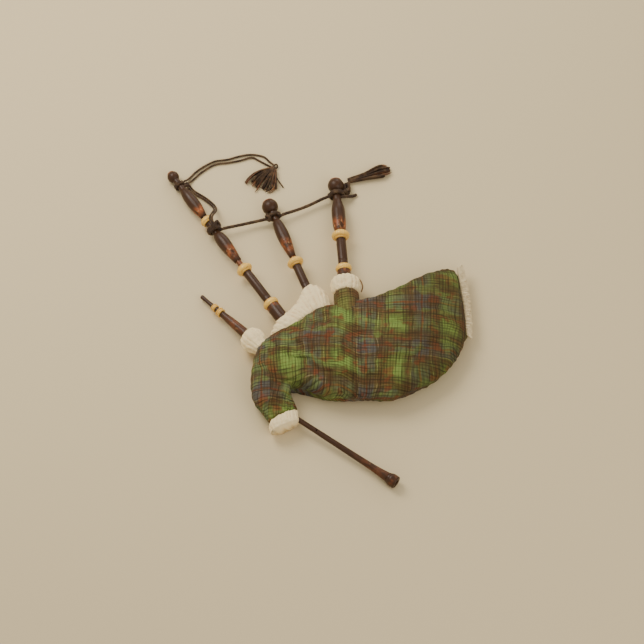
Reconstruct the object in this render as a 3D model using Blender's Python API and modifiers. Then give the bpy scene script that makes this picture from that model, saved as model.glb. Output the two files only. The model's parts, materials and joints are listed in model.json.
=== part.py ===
"""Great Highland bagpipes, lying flat: a tartan-covered bag, three drones, a blowpipe, a chanter and their cords.

The frame has +Z up and its origin under the middle of the set, on the surface that it lies on. Drones point
towards +Y. Lengths below are in millimetres, and MM turns them into Blender's metres. Each drone, the blowpipe
and the chanter is turned round the Z axis of its own empty, whose origin is where that pipe leaves the bag."""

import math

import bmesh
import bpy
from mathutils import Matrix, Vector

MM = 0.001
GAP = 0.3  # between pieces that meet
SIDES = 16  # of a turned piece
RING = 16  # points round a section of the bag
FULLNESS = 0.78  # 1 would give the upper side of a section an oval outline, and less fills it out

# Where each pipe leaves the bag, and the far point that its axis runs to.
BASS_FOOT, BASS_END = (-138.2, 65, 44), (-421, 492.6, 18)
INNER_FOOT, INNER_END = (-37.3, 118.8, 45), (-140.8, 388.2, 24)
OUTER_FOOT, OUTER_END = (69, 178.2, 45), (47, 456.6, 24)
BLOW_FOOT, BLOW_END = (-189.5, -50, 42), (-335.4, 104.6, 12)
CHANTER_FOOT, CHANTER_END = (-51.3, -306.6, 34), (218, -494.5, 20)

# Outer radii of the stocks, and of the bores that take the pipes' tenons.
DRONE_STOCK, BLOW_STOCK, CHANTER_STOCK = 19.5, 16.5, 17
BINDING_DEPTH, BINDING_WIDTH = 2.2, 8
AIR = 4.5  # radius of a drone's air bore
MOUTH = 8.3  # radius of a bell's mouth

CORD = 9.5  # diameter of the cord between the drones
STRAND = 6  # diameter of each strand of a doubled cord

# Sections of the bag from the neck to the back seam: one side, the other side, height of the seam, rise to the top.
BAG = (
    ((-139, -311), (-64, -274), 33, 31),
    ((-165, -275), (-74, -240), 35, 34),
    ((-186, -245), (-81, -214), 38, 38),
    ((-196, -204), (-80, -198), 41, 42),
    ((-193, -158), (-50, -204), 44, 46),
    ((-184, -115), (-18, -221), 47, 50),
    ((-172, -81), (18, -236), 50, 53),
    ((-140, -48), (50, -243), 50, 54),
    ((-95, -21), (85, -246), 50, 54),
    ((-45, 14), (115, -245), 50, 54),
    ((-5, 44), (145, -243), 50, 54),
    ((50, 53), (178, -247), 50, 54),
    ((105, 70), (215, -243), 50, 53),
    ((155, 77), (255, -226), 49, 52),
    ((205, 102), (292, -206), 48, 50),
    ((255, 130), (328, -182), 47, 46),
    ((305, 157), (358, -156), 46, 41),
    ((345, 172), (382, -124), 45, 34),
    ((372, 175), (400, -91), 45, 27),
    ((386, 169), (410, -56), 45, 18),
    ((392, 158), (413, -40), 45, 10),
)
BAG_DROP = 1.45  # depth of the underside against the seam's height, before the surface flattens it
COVER_THICK, HIDE_THICK = 2.5, 2
# Sections of the hide bag inside it, from the first one past the chanter stock, in the same terms.
HIDE = (
    ((-182, -240), (-110, -212), 38, 30),
    ((-185, -200), (-100, -197), 41, 33),
    ((-182, -152), (-62, -194), 44, 37),
    ((-172, -105), (-10, -212), 47, 41),
    ((-135, -62), (48, -233), 50, 44),
    ((-88, -33), (88, -238), 50, 44),
    ((-8, 28), (145, -231), 50, 44),
    ((52, 44), (180, -235), 50, 44),
    ((108, 62), (215, -231), 50, 43),
    ((158, 68), (252, -214), 49, 42),
    ((257, 115), (325, -170), 47, 36),
    ((342, 156), (378, -112), 45, 24),
    ((366, 158), (392, -88), 45, 16),
)
HIDE_FLOOR = 9

# White cloth round the bass and inner tenor stocks: outer edge, edge at the bag, half height.
FRONT_TRIM = (
    ((-141, -36), (-133, -41), 7),
    ((-131, -14), (-110, -28), 22),
    ((-121, 6), (-90, -12), 29),
    ((-105, 21), (-71, 3), 31),
    ((-88, 36), (-54, 15), 31),
    ((-70, 59), (-39, 26), 31),
    ((-56, 84), (-26, 37), 31),
    ((-47, 108), (-14, 46), 31),
    ((-25, 122), (-1, 53), 31),
    ((0, 114), (14, 57), 27),
    ((22, 90), (28, 60), 12),
)
TRIM_HEIGHT = 45
# White band at the neck's mouth: one side, the other side, height, half height.
NECK_BAND = (
    ((-140.2, -314.3), (-63.2, -275.3), 33, 30),
    ((-143, -330), (-60, -292), 33, 32),
    ((-137, -343), (-57, -308), 32, 29),
)
# White fringe along the back seam: edge at the seam, loose edge, height, half height.
BACK_FRINGE = (
    ((396, 182), (408, 197), 40, 4),
    ((399, 154), (417, 166), 38, 8),
    ((405, 112), (427, 116), 36, 9),
    ((411, 62), (433, 62), 36, 9),
    ((416, 10), (436.4, 9), 36, 9),
    ((419, -30), (435, -46), 38, 4),
)

# Routes of the free cords, chosen by hand.
WEST_SPAN = (
    (-278.5, 316, 30), (-266, 321, 28), (-229, 332, 24), (-181, 345, 22), (-160, 349, 25), (-148, 350, 27),
)
EAST_SPAN = ((-109, 362.3, 27), (-98, 369, 25), (-65, 383, 21), (-29, 400, 19), (7, 418, 22), (28, 425, 27))
TAIL = ((71.5, 424, 27), (84, 430, 17), (95, 436, 7), (108, 443, 5))
TASSEL_STRING = ((75, 443, 27), (80.5, 450, 18), (82.5, 460, 11), (82, 470, 8.5))
TASSEL_CORD_UPPER = (
    (-388, 479, 20), (-382, 488, 9), (-372, 500, 3.5), (-356, 518, 3.5), (-330, 538, 3.5), (-301, 553, 3.5),
    (-265, 559, 3.5), (-229, 570, 3.5), (-196, 575, 3.5), (-162, 568, 3.5), (-145, 552, 3.5), (-134, 542, 4),
)
TASSEL_CORD_LOWER = (
    (-383.5, 472, 20), (-376, 479, 9), (-365, 491, 3.5), (-349, 508, 3.5), (-325, 528, 3.5), (-298, 543, 3.5),
    (-264, 548, 3.5), (-231, 555, 3.5), (-197, 565, 3.5), (-178, 557, 3.5), (-160, 546, 3.5), (-139, 534, 4),
)
SIDE_CORD = (
    (-379, 466, 19), (-366, 453, 9), (-350, 442, 6.5), (-332, 430, 6.5), (-314, 414, 7), (-302, 396, 14),
    (-300, 378, 28), (-306, 359, 44), (-311, 344, 51), (-309, 328, 53.5), (-303, 315, 54),
)
# Tassels: one side, the other side, height, half height, from the knot to the loose ends.
WEST_TASSEL = (
    ((-134, 530), (-124, 522), 8, 6),
    ((-165, 523), (-122, 497), 9, 8),
    ((-196, 508), (-120, 472), 9, 8),
    ((-218, 485), (-122, 452), 7, 6),
    ((-217, 466), (-150, 439), 5, 4),
)
EAST_TASSEL = (
    ((80, 492), (85, 479), 8, 6),
    ((128, 512), (134, 488), 10, 8),
    ((170, 541), (180, 495), 10, 9),
    ((198, 537), (207, 507), 7, 6),
)

WOOD = ("blackwood", (0.065, 0.04, 0.032), 0.25)
POLISHED = ("ring_cap_wood", (0.24, 0.08, 0.04), 0.3)
IVORY = ("mount_ivory", (0.78, 0.55, 0.22), 0.35)
TARTAN = ("tartan_cloth", (0.13, 0.22, 0.07), 0.9)
WHITE = ("white_cloth", (0.8, 0.72, 0.6), 0.9)
LEATHER = ("hide", (0.35, 0.24, 0.15), 0.7)
CANE = ("cane", (0.6, 0.45, 0.2), 0.6)
THREAD = ("waxed_thread", (0.5, 0.38, 0.16), 0.7)
CORDING = ("dark_cord", (0.045, 0.03, 0.024), 0.8)


# --- scene and materials ---------------------------------------------------------------------------------------------


def clear_scene():
    for obj in list(bpy.data.objects):
        bpy.data.objects.remove(obj)


def new_collection(name, hidden=False):
    collection = bpy.data.collections.new(name)
    collection.hide_render = hidden
    bpy.context.scene.collection.children.link(collection)
    return collection


def own_material(name, finish):
    """Each piece has a material of its own, in the finish of its kind."""
    kind, colour, roughness = finish
    material = bpy.data.materials.new(f"{name}_{kind}")
    material.use_nodes = True
    shader = material.node_tree.nodes["Principled BSDF"]
    shader.inputs["Base Color"].default_value = (*colour, 1)
    shader.inputs["Roughness"].default_value = roughness
    shader.inputs["Metallic"].default_value = 0
    material.diffuse_color = (*colour, 1)
    return material


def add_piece(name, data, finish, parent):
    obj = bpy.data.objects.new(name, data)
    data.materials.append(own_material(name, finish))
    PARTS.objects.link(obj)
    obj.parent = parent
    return obj


def add_cutter(name, mesh, parent):
    obj = bpy.data.objects.new(name, mesh)
    obj.parent = parent
    obj.hide_render = True
    obj.display_type = "WIRE"
    CUTTERS.objects.link(obj)
    return obj


def add_empty(name, at=(0, 0, 0), aim=None, parent=None):
    """An empty at a point, whose Z axis runs towards another point."""
    empty = bpy.data.objects.new(name, None)
    empty.empty_display_size = 0.03
    empty.location = Vector(at) * MM
    if aim:
        empty.rotation_mode = "QUATERNION"
        empty.rotation_quaternion = (Vector(aim) - Vector(at)).to_track_quat("Z", "Y")
    empty.parent = parent
    PARTS.objects.link(empty)
    return empty


# --- shapes ----------------------------------------------------------------------------------------------------------


def ball(radius, middle, top_radius, bottom_radius, count=7):
    """Points down the outer side of a ball, from where it has one radius to where it has the other."""
    first = math.asin(top_radius / radius)
    last = math.pi - math.asin(bottom_radius / radius)
    angles = [first + (last - first) * i / (count - 1) for i in range(count)]
    return [(radius * math.sin(a), middle + radius * math.cos(a)) for a in angles]


def profile_mesh(name, profile):
    """A profile of (radius, height) points. It is a closed loop unless it starts and ends on the axis."""
    mesh = bpy.data.meshes.new(name)
    edges = [(i, i + 1) for i in range(len(profile) - 1)]
    if profile[0][0] > 0:
        edges.append((len(profile) - 1, 0))
    mesh.from_pydata([(r * MM, 0, h * MM) for r, h in profile], edges, [])
    return mesh


def screw(obj, steps):
    modifier = obj.modifiers.new("turn", "SCREW")
    modifier.steps = modifier.render_steps = steps
    modifier.use_merge_vertices = True
    modifier.merge_threshold = 0.00005
    modifier.use_smooth_shade = True


def turned(name, profile, finish, parent, steps=SIDES):
    """A turned piece. The profile runs down the outer side, then back up the bore."""
    obj = add_piece(name, profile_mesh(name, profile), finish, parent)
    screw(obj, steps)
    return obj


def turned_cutter(name, profile, parent):
    obj = add_cutter(name, profile_mesh(name, profile), parent)
    screw(obj, SIDES)
    return obj


def cut(obj, cutter):
    modifier = obj.modifiers.new(f"cut_{cutter.name}", "BOOLEAN")
    modifier.operation = "DIFFERENCE"
    modifier.object = cutter


def section(one, other, height, rise, drop, count=RING, floor=0):
    """An upright ring of points through two points in plan, flattened where it would go through the floor."""
    one, other = Vector(one), Vector(other)
    middle, half = (one + other) / 2, (one - other) / 2
    points = []
    for i in range(count):
        angle = 2 * math.pi * i / count
        lift = math.sin(angle)
        power = FULLNESS if lift > 0 else 1
        lift = math.copysign(abs(lift) ** power, lift)
        plan = middle + half * math.copysign(abs(math.cos(angle)) ** power, math.cos(angle))
        z = max(floor, height + lift * (rise if lift > 0 else drop))
        points.append(Vector((plan.x, plan.y, z)) * MM)
    return points


def loft_mesh(name, rings, open_start=False):
    """Faces between neighbouring rings, with a flat face at each end unless the start stays open."""
    mesh = bpy.data.meshes.new(name)
    bm = bmesh.new()
    loops = [[bm.verts.new(p) for p in ring] for ring in rings]
    for near, far in zip(loops, loops[1:]):
        for i in range(len(near)):
            j = (i + 1) % len(near)
            bm.faces.new((near[i], near[j], far[j], far[i]))
    bm.faces.new(loops[-1])
    if not open_start:
        bm.faces.new(loops[0][::-1])
    bmesh.ops.recalc_face_normals(bm, faces=bm.faces)
    for face in bm.faces:
        face.smooth = True
    bm.to_mesh(mesh)
    bm.free()
    return mesh


def soft_solid(name, sections, finish, parent, count=14):
    """A closed soft form through sections of (side, other side, height, half height)."""
    rings = [section(a, b, z, half, half, count) for a, b, z, half in sections]
    return add_piece(name, loft_mesh(name, rings), finish, parent)


def smooth_route(points, per_span):
    """Points along a Catmull-Rom curve through the route."""
    points = [Vector(p) for p in points]
    ends = [2 * points[0] - points[1], *points, 2 * points[-1] - points[-2]]
    route = []
    for a, b, c, d in zip(ends, ends[1:], ends[2:], ends[3:]):
        for i in range(per_span):
            t = i / per_span
            route.append(
                (2 * b + (c - a) * t + (2 * a - 5 * b + 4 * c - d) * t**2 + (3 * b - a - 3 * c + d) * t**3) / 2
            )
    return [*route, points[-1]]


def cord(name, route, diameter, parent, per_span, finish=CORDING):
    curve = bpy.data.curves.new(name, "CURVE")
    curve.dimensions = "3D"
    curve.bevel_depth = diameter / 2 * MM
    curve.bevel_resolution = 2
    curve.use_fill_caps = True
    points = smooth_route(route, per_span)
    spline = curve.splines.new("POLY")
    spline.points.add(len(points) - 1)
    for point, place in zip(spline.points, points):
        point.co = (*(place * MM), 1)
    return add_piece(name, curve, finish, parent)


# --- bag and its cloth -----------------------------------------------------------------------------------------------


def bag_shell(name, rings, thick, finish, parent):
    obj = add_piece(name, loft_mesh(name, rings, open_start=True), finish, parent)
    solidify = obj.modifiers.new("thickness", "SOLIDIFY")
    solidify.thickness = thick * MM
    solidify.offset = -1
    return obj


def cover_rings():
    return [section(a, b, z, rise, BAG_DROP * z) for a, b, z, rise in BAG]


def hide_rings(tie_at, across):
    """The hide bag: a ring bound round the chanter stock, then its own sections."""
    grip = (CHANTER_STOCK + HIDE_THICK + 1) * across
    rings = [section(tie_at.xy + grip, tie_at.xy - grip, tie_at.z, grip.length, grip.length)]
    rings += [section(a, b, z, rise, BAG_DROP * z, floor=HIDE_FLOOR) for a, b, z, rise in HIDE]
    return rings


def make_bag(root, stocks):
    cover = bag_shell("bag_cover", cover_rings(), COVER_THICK, TARTAN, root)
    foot, end = Vector(CHANTER_FOOT), Vector(CHANTER_END)
    along = (end - foot).normalized()
    tie_at = foot - along * 72
    across = Vector((along.y, -along.x)).normalized()
    hide = bag_shell("hide_bag", hide_rings(tie_at, across), HIDE_THICK, LEATHER, root)
    for name, (empty, radius, inner_end) in stocks.items():
        cutter = turned_cutter(f"hole_for_{name}", rod(radius + 2.5 * GAP, inner_end - 15, -20), empty)
        cut(cover, cutter)
        cut(hide, cutter)


def rod(radius, low, high):
    return [(0, high), (radius, high), (radius, low), (0, low)]


def stepped_rod(narrow, wide, low, step, high):
    """A rod that is narrow above a height and wide below it."""
    return [(0, high), (narrow, high), (narrow, step), (wide, step - 0.1), (wide, low), (0, low)]


def make_trims(root, empties):
    sections = [(a, b, TRIM_HEIGHT, half) for a, b, half in FRONT_TRIM]
    trim = soft_solid("front_trim", sections, WHITE, root)
    room = DRONE_STOCK + 1
    cut(trim, turned_cutter("trim_hole_bass", rod(room, -190, -30), empties["bass"]))
    inner = stepped_rod(13.4, room, -190, -13, 60)
    cut(trim, turned_cutter("trim_hole_inner_tenor", inner, empties["inner_tenor"]))
    band = soft_solid("neck_band", NECK_BAND, WHITE, root, count=16)
    hole = stepped_rod(9.8, CHANTER_STOCK + 1.2, -130, -38.5, 40)
    cut(band, turned_cutter("band_hole", hole, empties["chanter"]))
    soft_solid("back_fringe", BACK_FRINGE, WHITE, root, count=10)


def make_ruffs(empties):
    hole = BLOW_STOCK + 2 * GAP
    ruff = [(hole, 19), (24, 24), (33, 14), (36.5, 0), (33, -14), (24, -23), (hole, -19)]
    turned("blowpipe_ruff", ruff, WHITE, empties["blowpipe"])
    hole = DRONE_STOCK + 2 * GAP
    ruff = [(hole, -37), (31, -36), (39, -41), (42.5, -51), (41.5, -66), (37.5, -78), (33, -84), (hole, -83)]
    turned("outer_tenor_ruff", ruff, WHITE, empties["outer_tenor"])
    sleeve = [(hole, -85), (32, -85), (35.5, -90), (35.5, -100), (hole, -100)]
    turned("outer_tenor_sleeve", sleeve, TARTAN, empties["outer_tenor"])
    tie = ((113.5, 142, 50), (120, 135, 40), (123, 126, 30), (119, 115, 22))
    cord("outer_tenor_ruff_tie", tie, 4, empties["outer_tenor"].parent, per_span=3, finish=THREAD)


# --- stocks ----------------------------------------------------------------------------------------------------------


def make_stock(name, empty, radius, top, bottom, bore, binding, spigot=0):
    """A stock with the groove that its binding lies in. A spigot at the top takes the stock's mount."""
    half = BINDING_WIDTH / 2
    groove = radius - BINDING_DEPTH
    outer = [(spigot, top + 9), (spigot, top)] if spigot else []
    outer += [(radius, top - GAP), (radius, binding + half), (groove, binding + half)]
    outer += [(groove, binding - half), (radius, binding - half), (radius, bottom)]
    high = top + 9 if spigot else top - GAP
    turned(f"{name}_stock", [*outer, (bore, bottom), (bore, high)], WOOD, empty)
    low, high = binding + GAP - half, binding + half - GAP
    thread = [(radius + GAP, high), (radius + GAP, low), (groove + GAP, low), (groove + GAP, high)]
    turned(f"{name}_binding", thread, THREAD, empty)


def make_stock_mount(name, empty, bore, spigot):
    """The ring on a stock's spigot, in the empty's frame with its middle at the foot."""
    seat = spigot + GAP
    outer = [(bore, 11.5), (17, 11.5), (22, 7), (23.3, 1), (22, -4.5), (19.8, -7.6)]
    turned(f"{name}_stock_mount", [*outer, (seat, -7.6), (seat, 1.4), (bore, 1.4)], IVORY, empty)


# --- drones ----------------------------------------------------------------------------------------------------------


def make_reed(name, empty, top, length=55, radius=AIR - 0.4):
    """A reed whose tail sits in the air bore that ends at this height."""
    tail, low = top + 12, top - length
    shape = [(0, tail), (radius, tail), (radius, top - GAP), (5.5, top - GAP - 0.5), (5.5, low), (0, low)]
    turned(f"{name}_reed", shape, CANE, empty, steps=10)


def mount_ring(name, empty, low, high, radius, seat):
    """A projecting mount: a ring with a rounded rim."""
    tall = high - low
    rim = [(seat + 4, 0), (radius - 3, 0.14), (radius, 0.42), (radius, 0.58), (radius - 3, 0.86), (seat + 4, 1)]
    outer = [(r, high - tall * share) for r, share in rim]
    turned(name, [(seat, high), *outer, (seat, low)], IVORY, empty)


def make_lower(name, empty, tube, tenon, start, mount_low, mount_high, pin, pin_top, mount_radius):
    """A drone's lower section: tenon in the stock, straight tube, seat for the mount, and tuning pin."""
    seat = tube - 1.2
    outer = [(pin, pin_top), (pin, mount_high + 0.2), (seat, mount_high), (seat, mount_low - GAP)]
    outer += [(tube, mount_low - GAP - 0.2), (tube, start), (tenon, start - 0.2), (tenon, start - 38)]
    turned(f"{name}_lower", [*outer, (AIR, start - 38), (AIR, pin_top)], WOOD, empty)
    mount_ring(f"{name}_mount", empty, mount_low, mount_high, mount_radius, seat + GAP)
    make_reed(name, empty, start - 38)


def make_top(name, empty, bell, middle, mouth_at, neck, outline, bore, bore_top):
    """A drone's top section: bell with a mouth, neck for the cord, body, and the bore for the tuning pin."""
    top_radius = math.sqrt(bell**2 - (mouth_at - middle) ** 2)
    outer = [*ball(bell, middle, top_radius, neck), *outline]
    low = outline[-1][1]
    inner = [(bore, low), (bore, bore_top), (AIR, bore_top + 2), (AIR, mouth_at - 15), (MOUTH, mouth_at - 11)]
    turned(f"{name}_top", [*outer, *inner, (MOUTH, mouth_at)], WOOD, empty)
    low, high = mouth_at + GAP, mouth_at + GAP + 3.2
    rim = top_radius - 0.5
    ring = [(MOUTH, high), (rim - 1.5, high), (rim, low + 1.5), (rim, low), (MOUTH, low)]
    turned(f"{name}_ring_cap", ring, POLISHED, empty)


def make_bass(empty):
    make_stock("bass", empty, DRONE_STOCK, -8, -150, 11.5, -98, spigot=17)
    make_stock_mount("bass", empty, 13.5, 17)
    make_lower("bass", empty, 13, 11, 3, 126, 150, 8, 226, 24)
    turn = add_empty("bass_lower_axis", parent=empty)
    outer = [(7.5, 398), (7.5, 343.5), (11.5, 343.2), (11.5, 324.5), (11, 324.2), (11, 281)]
    outer += [(14.5, 276), (18, 262), (18.8, 246), (17.5, 222), (14, 196), (10.8, 172)]
    inner = [(8.5, 172), (8.5, 240), (AIR, 242), (AIR, 398)]
    turned("bass_middle", [*outer, *inner], WOOD, turn)
    mount_ring("bass_middle_mount", turn, 325, 343, 19.5, 11.5 + GAP)
    outline = [(9.5, 499.6), (9.5, 461), (12.5, 455), (16.5, 438), (18.2, 412), (17, 390), (13.5, 368), (9.6, 352)]
    make_top("bass", turn, 17, 514, 527, 9.6, outline, 8, 410)


def make_inner_tenor(empty):
    make_stock("inner_tenor", empty, DRONE_STOCK, -14, -140, 10.5, -86)
    make_lower("inner_tenor", empty, 12.4, 10, -13.4, 77, 101, 7.5, 178, 24)
    outline = [(10, 272), (10, 242), (13, 236), (17, 216), (18.5, 190), (17.5, 165), (14, 140), (9.6, 110)]
    make_top("inner_tenor", empty, 23.4, 293.4, 309, 10.1, outline, 8, 190)


def make_outer_tenor(empty):
    make_stock("outer_tenor", empty, DRONE_STOCK, -8, -165, 11.5, -114, spigot=17)
    make_stock_mount("outer_tenor", empty, 14.5, 17)
    make_lower("outer_tenor", empty, 14, 11, 3, 100, 125.5, 8, 195, 26)
    outline = [(12, 265), (12, 232), (15.4, 219), (19.3, 204), (19.8, 180), (19.6, 156), (18, 139), (15, 126.5)]
    make_top("outer_tenor", empty, 23, 285, 300.5, 12.1, outline, 8.5, 205)


# --- blowpipe and chanter --------------------------------------------------------------------------------------------


def make_blowpipe(empty):
    make_stock("blowpipe", empty, BLOW_STOCK, 15, -85, 10.2, -39)
    outer = [(8, 153), (8, 144), (8.6, 143.5), (8.6, 130.4), (9.3, 130), (12.4, 90), (14.2, 45), (14.5, 15.2)]
    outer += [(9.6, 15), (9.6, -60)]
    turned("blowpipe", [*outer, (4, -60), (4, 138), (5.5, 139), (5.5, 153)], WOOD, empty)
    mount_ring("blowpipe_mount", empty, 130.7, 143.3, 13, 8.6 + GAP)
    shape = [(5, 217), (6, 215), (6.2, 208), (5.2, 192), (6.6, 168), (6.6, 167), (6, 166.8), (6, 154.2)]
    turned("mouthpiece", [*shape, (5, 154), (5, 141), (2.6, 141), (2.6, 217)], WOOD, empty, steps=12)
    mount_ring("mouthpiece_mount", empty, 154.2, 166.5, 11.5, 6 + GAP)
    hinge = add_empty("valve_hinge", at=(8.4, 0, -61.2), parent=empty)
    flap = [(0, 0.4), (8.4, 0.4), (8.4, -1), (0, -1)]
    leather = turned("valve_flap", flap, LEATHER, hinge, steps=12)
    leather.location = (-8.4 * MM, 0, 0)


def hole_cutter(name, empty, radius, height, angle, reach, both_sides=False):
    """A cylinder across the chanter at this height, on one side or through both."""
    mesh = bpy.data.meshes.new(name)
    bm = bmesh.new()
    length = reach * (2 if both_sides else 1)
    middle = 0 if both_sides else reach / 2
    shift = Matrix.Translation(Vector((0, 0, middle)) * MM)
    size = {"radius1": radius * MM, "radius2": radius * MM, "depth": length * MM}
    bmesh.ops.create_cone(bm, cap_ends=True, segments=8, matrix=shift, **size)
    bm.to_mesh(mesh)
    bm.free()
    cutter = add_cutter(name, mesh, empty)
    cutter.location = (0, 0, height * MM)
    cutter.rotation_euler = (math.pi / 2, 0, angle)
    return cutter


def make_chanter(empty):
    make_stock("chanter", empty, CHANTER_STOCK, -40, -95, 8.9, -72)
    outer = [(12.6, 326.5), (12.6, 297.4), (14.2, 297), (12.2, 276), (10.3, 250), (9.3, 200), (8.2, 100), (7.4, 0)]
    outer += [(7.4, -39.8), (8.4, -40), (8.4, -78)]
    inner = [(2.2, -78), (2.6, 60), (4.2, 200), (5.6, 300), (MOUTH, 312), (MOUTH, 326.5)]
    chanter = turned("chanter", [*outer, *inner], WOOD, empty)
    sole = [(12.9, 327.7), (17, 327.7), (19, 325), (19, 308), (16.5, 304), (15, 297.8), (12.9, 297.8)]
    turned("chanter_sole", sole, WOOD, empty)
    make_reed("chanter", empty, -78, length=28, radius=1.9)
    for i in range(7):
        cut(chanter, hole_cutter(f"finger_hole_{i + 1}", empty, 2.4, 66 + 26 * i, 0, 30))
    cut(chanter, hole_cutter("thumb_hole", empty, 2.4, 52, math.pi, 30))
    cut(chanter, hole_cutter("vent_holes", empty, 2.4, 262, math.pi / 2, 30, both_sides=True))


# --- cords -----------------------------------------------------------------------------------------------------------


def make_wrap(name, empty, low, high, neck, thick):
    """The outer shape of a cord's turns round a drone's neck."""
    inner, outer = neck + 0.9, neck + 0.9 + thick
    middle = (low + high) / 2
    bulge = [(inner, high), (outer - 2, high), (outer, high - 3), (outer, middle), (outer, low + 3), (outer - 2, low)]
    turned(name, [*bulge, (inner, low)], CORDING, empty)


def make_cords(root, empties):
    make_wrap("bass_middle_cord_wrap", empties["bass"], 289, 312, 11, 7.5)
    make_wrap("bass_top_cord_wrap", empties["bass"], 473, 488.5, 9.5, 5)
    make_wrap("inner_tenor_cord_wrap", empties["inner_tenor"], 253.5, 263, 10, 7.5)
    make_wrap("outer_tenor_cord_wrap", empties["outer_tenor"], 247.5, 264, 12, 7.5)
    cord("drone_cord_west", WEST_SPAN, CORD, root, per_span=3)
    cord("drone_cord_east", EAST_SPAN, CORD, root, per_span=3)
    cord("drone_cord_tail", TAIL, CORD, root, per_span=2)
    cord("east_tassel_cord", TASSEL_STRING, 2 * STRAND, root, per_span=3)
    cord("tassel_cord_upper", TASSEL_CORD_UPPER, STRAND, root, per_span=2)
    cord("tassel_cord_lower", TASSEL_CORD_LOWER, STRAND, root, per_span=2)
    cord("bass_side_cord", SIDE_CORD, 2 * STRAND, root, per_span=2)
    knot = add_empty("tassel_knot_middle", at=(-127.5, 534.5, 7), parent=root)
    turned("west_tassel_knot", [(0, 6), (4.5, 4.5), (6.2, 0), (4.5, -4.5), (0, -6)], CORDING, knot, steps=12)
    soft_solid("west_tassel", WEST_TASSEL, CORDING, root, count=12)
    soft_solid("east_tassel", EAST_TASSEL, CORDING, root, count=12)


# --- the whole set ---------------------------------------------------------------------------------------------------


def main():
    root = add_empty("bagpipes_origin")
    empties = {
        "bass": add_empty("bass_axis", BASS_FOOT, BASS_END, root),
        "inner_tenor": add_empty("inner_tenor_axis", INNER_FOOT, INNER_END, root),
        "outer_tenor": add_empty("outer_tenor_axis", OUTER_FOOT, OUTER_END, root),
        "blowpipe": add_empty("blowpipe_axis", BLOW_FOOT, BLOW_END, root),
        "chanter": add_empty("chanter_axis", CHANTER_FOOT, CHANTER_END, root),
    }
    make_bass(empties["bass"])
    make_inner_tenor(empties["inner_tenor"])
    make_outer_tenor(empties["outer_tenor"])
    make_blowpipe(empties["blowpipe"])
    make_chanter(empties["chanter"])
    stocks = {
        "bass": (empties["bass"], DRONE_STOCK, -150),
        "inner_tenor": (empties["inner_tenor"], DRONE_STOCK, -140),
        "outer_tenor": (empties["outer_tenor"], DRONE_STOCK, -165),
        "blowpipe": (empties["blowpipe"], BLOW_STOCK, -85),
    }
    make_bag(root, stocks)
    make_trims(root, empties)
    make_ruffs(empties)
    make_cords(root, empties)


clear_scene()
PARTS = new_collection("bagpipes")
CUTTERS = new_collection("cutters", hidden=True)
main()
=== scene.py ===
"""Looks for the bagpipes: finely turned wood and horn, a tartan cover, gathered white cloth, and twisted cords.

Lengths in the tables are in millimetres, in the same frames as the model's own source: each pipe is turned round
the Z axis of a frame whose origin is where it leaves the bag."""

import json
import random
from math import asin, cos, pi, radians, sin, sqrt, tau

import bmesh
import bpy
import numpy as np
from mathutils import Matrix, Vector, noise


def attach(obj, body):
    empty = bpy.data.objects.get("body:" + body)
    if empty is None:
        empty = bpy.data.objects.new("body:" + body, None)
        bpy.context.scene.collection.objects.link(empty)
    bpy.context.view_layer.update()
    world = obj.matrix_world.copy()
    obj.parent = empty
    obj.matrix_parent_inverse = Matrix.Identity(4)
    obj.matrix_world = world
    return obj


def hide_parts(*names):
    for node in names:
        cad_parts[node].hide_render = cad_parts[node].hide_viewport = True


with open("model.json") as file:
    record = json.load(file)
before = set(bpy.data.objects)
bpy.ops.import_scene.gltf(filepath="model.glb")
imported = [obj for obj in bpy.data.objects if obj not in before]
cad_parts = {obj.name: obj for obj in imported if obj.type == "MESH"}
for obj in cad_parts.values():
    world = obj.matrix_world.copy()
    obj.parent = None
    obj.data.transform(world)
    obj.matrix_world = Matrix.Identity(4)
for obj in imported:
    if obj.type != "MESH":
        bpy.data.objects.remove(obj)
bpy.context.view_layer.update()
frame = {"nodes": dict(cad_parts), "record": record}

MM = 0.001
AIR = 4.5  # radius of a drone's upper bore
MOUTH = 8.3  # radius of a bell's mouth
CORD = 9.5  # diameter of the cord between the drones
STRAND = 6  # diameter of each strand of the doubled cords
THREAD = 1.05  # radius of a tassel's threads
STRAND_SIDES = 6  # sides of each thread of a tassel or fringe
FULLNESS = 0.78  # how square the bag's upper half is: 1 is an ellipse
CLEARANCE = 0.3  # the least height of a soft piece over the surface that it rests on
FLOOR_DROP = 0.0006  # how far the floor lies under the model, in metres

# Each pipe's axis, from where it leaves the bag to its end.
PIPES = {
    "bass": ((-138.2, 65, 44), (-421, 492.6, 18)),
    "inner_tenor": ((-37.3, 118.8, 45), (-140.8, 388.2, 24)),
    "outer_tenor": ((69, 178.2, 45), (47, 456.6, 24)),
    "blowpipe": ((-189.5, -50, 42), (-335.4, 104.6, 12)),
    "chanter": ((-51.3, -306.6, 34), (218, -494.5, 20)),
}

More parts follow.
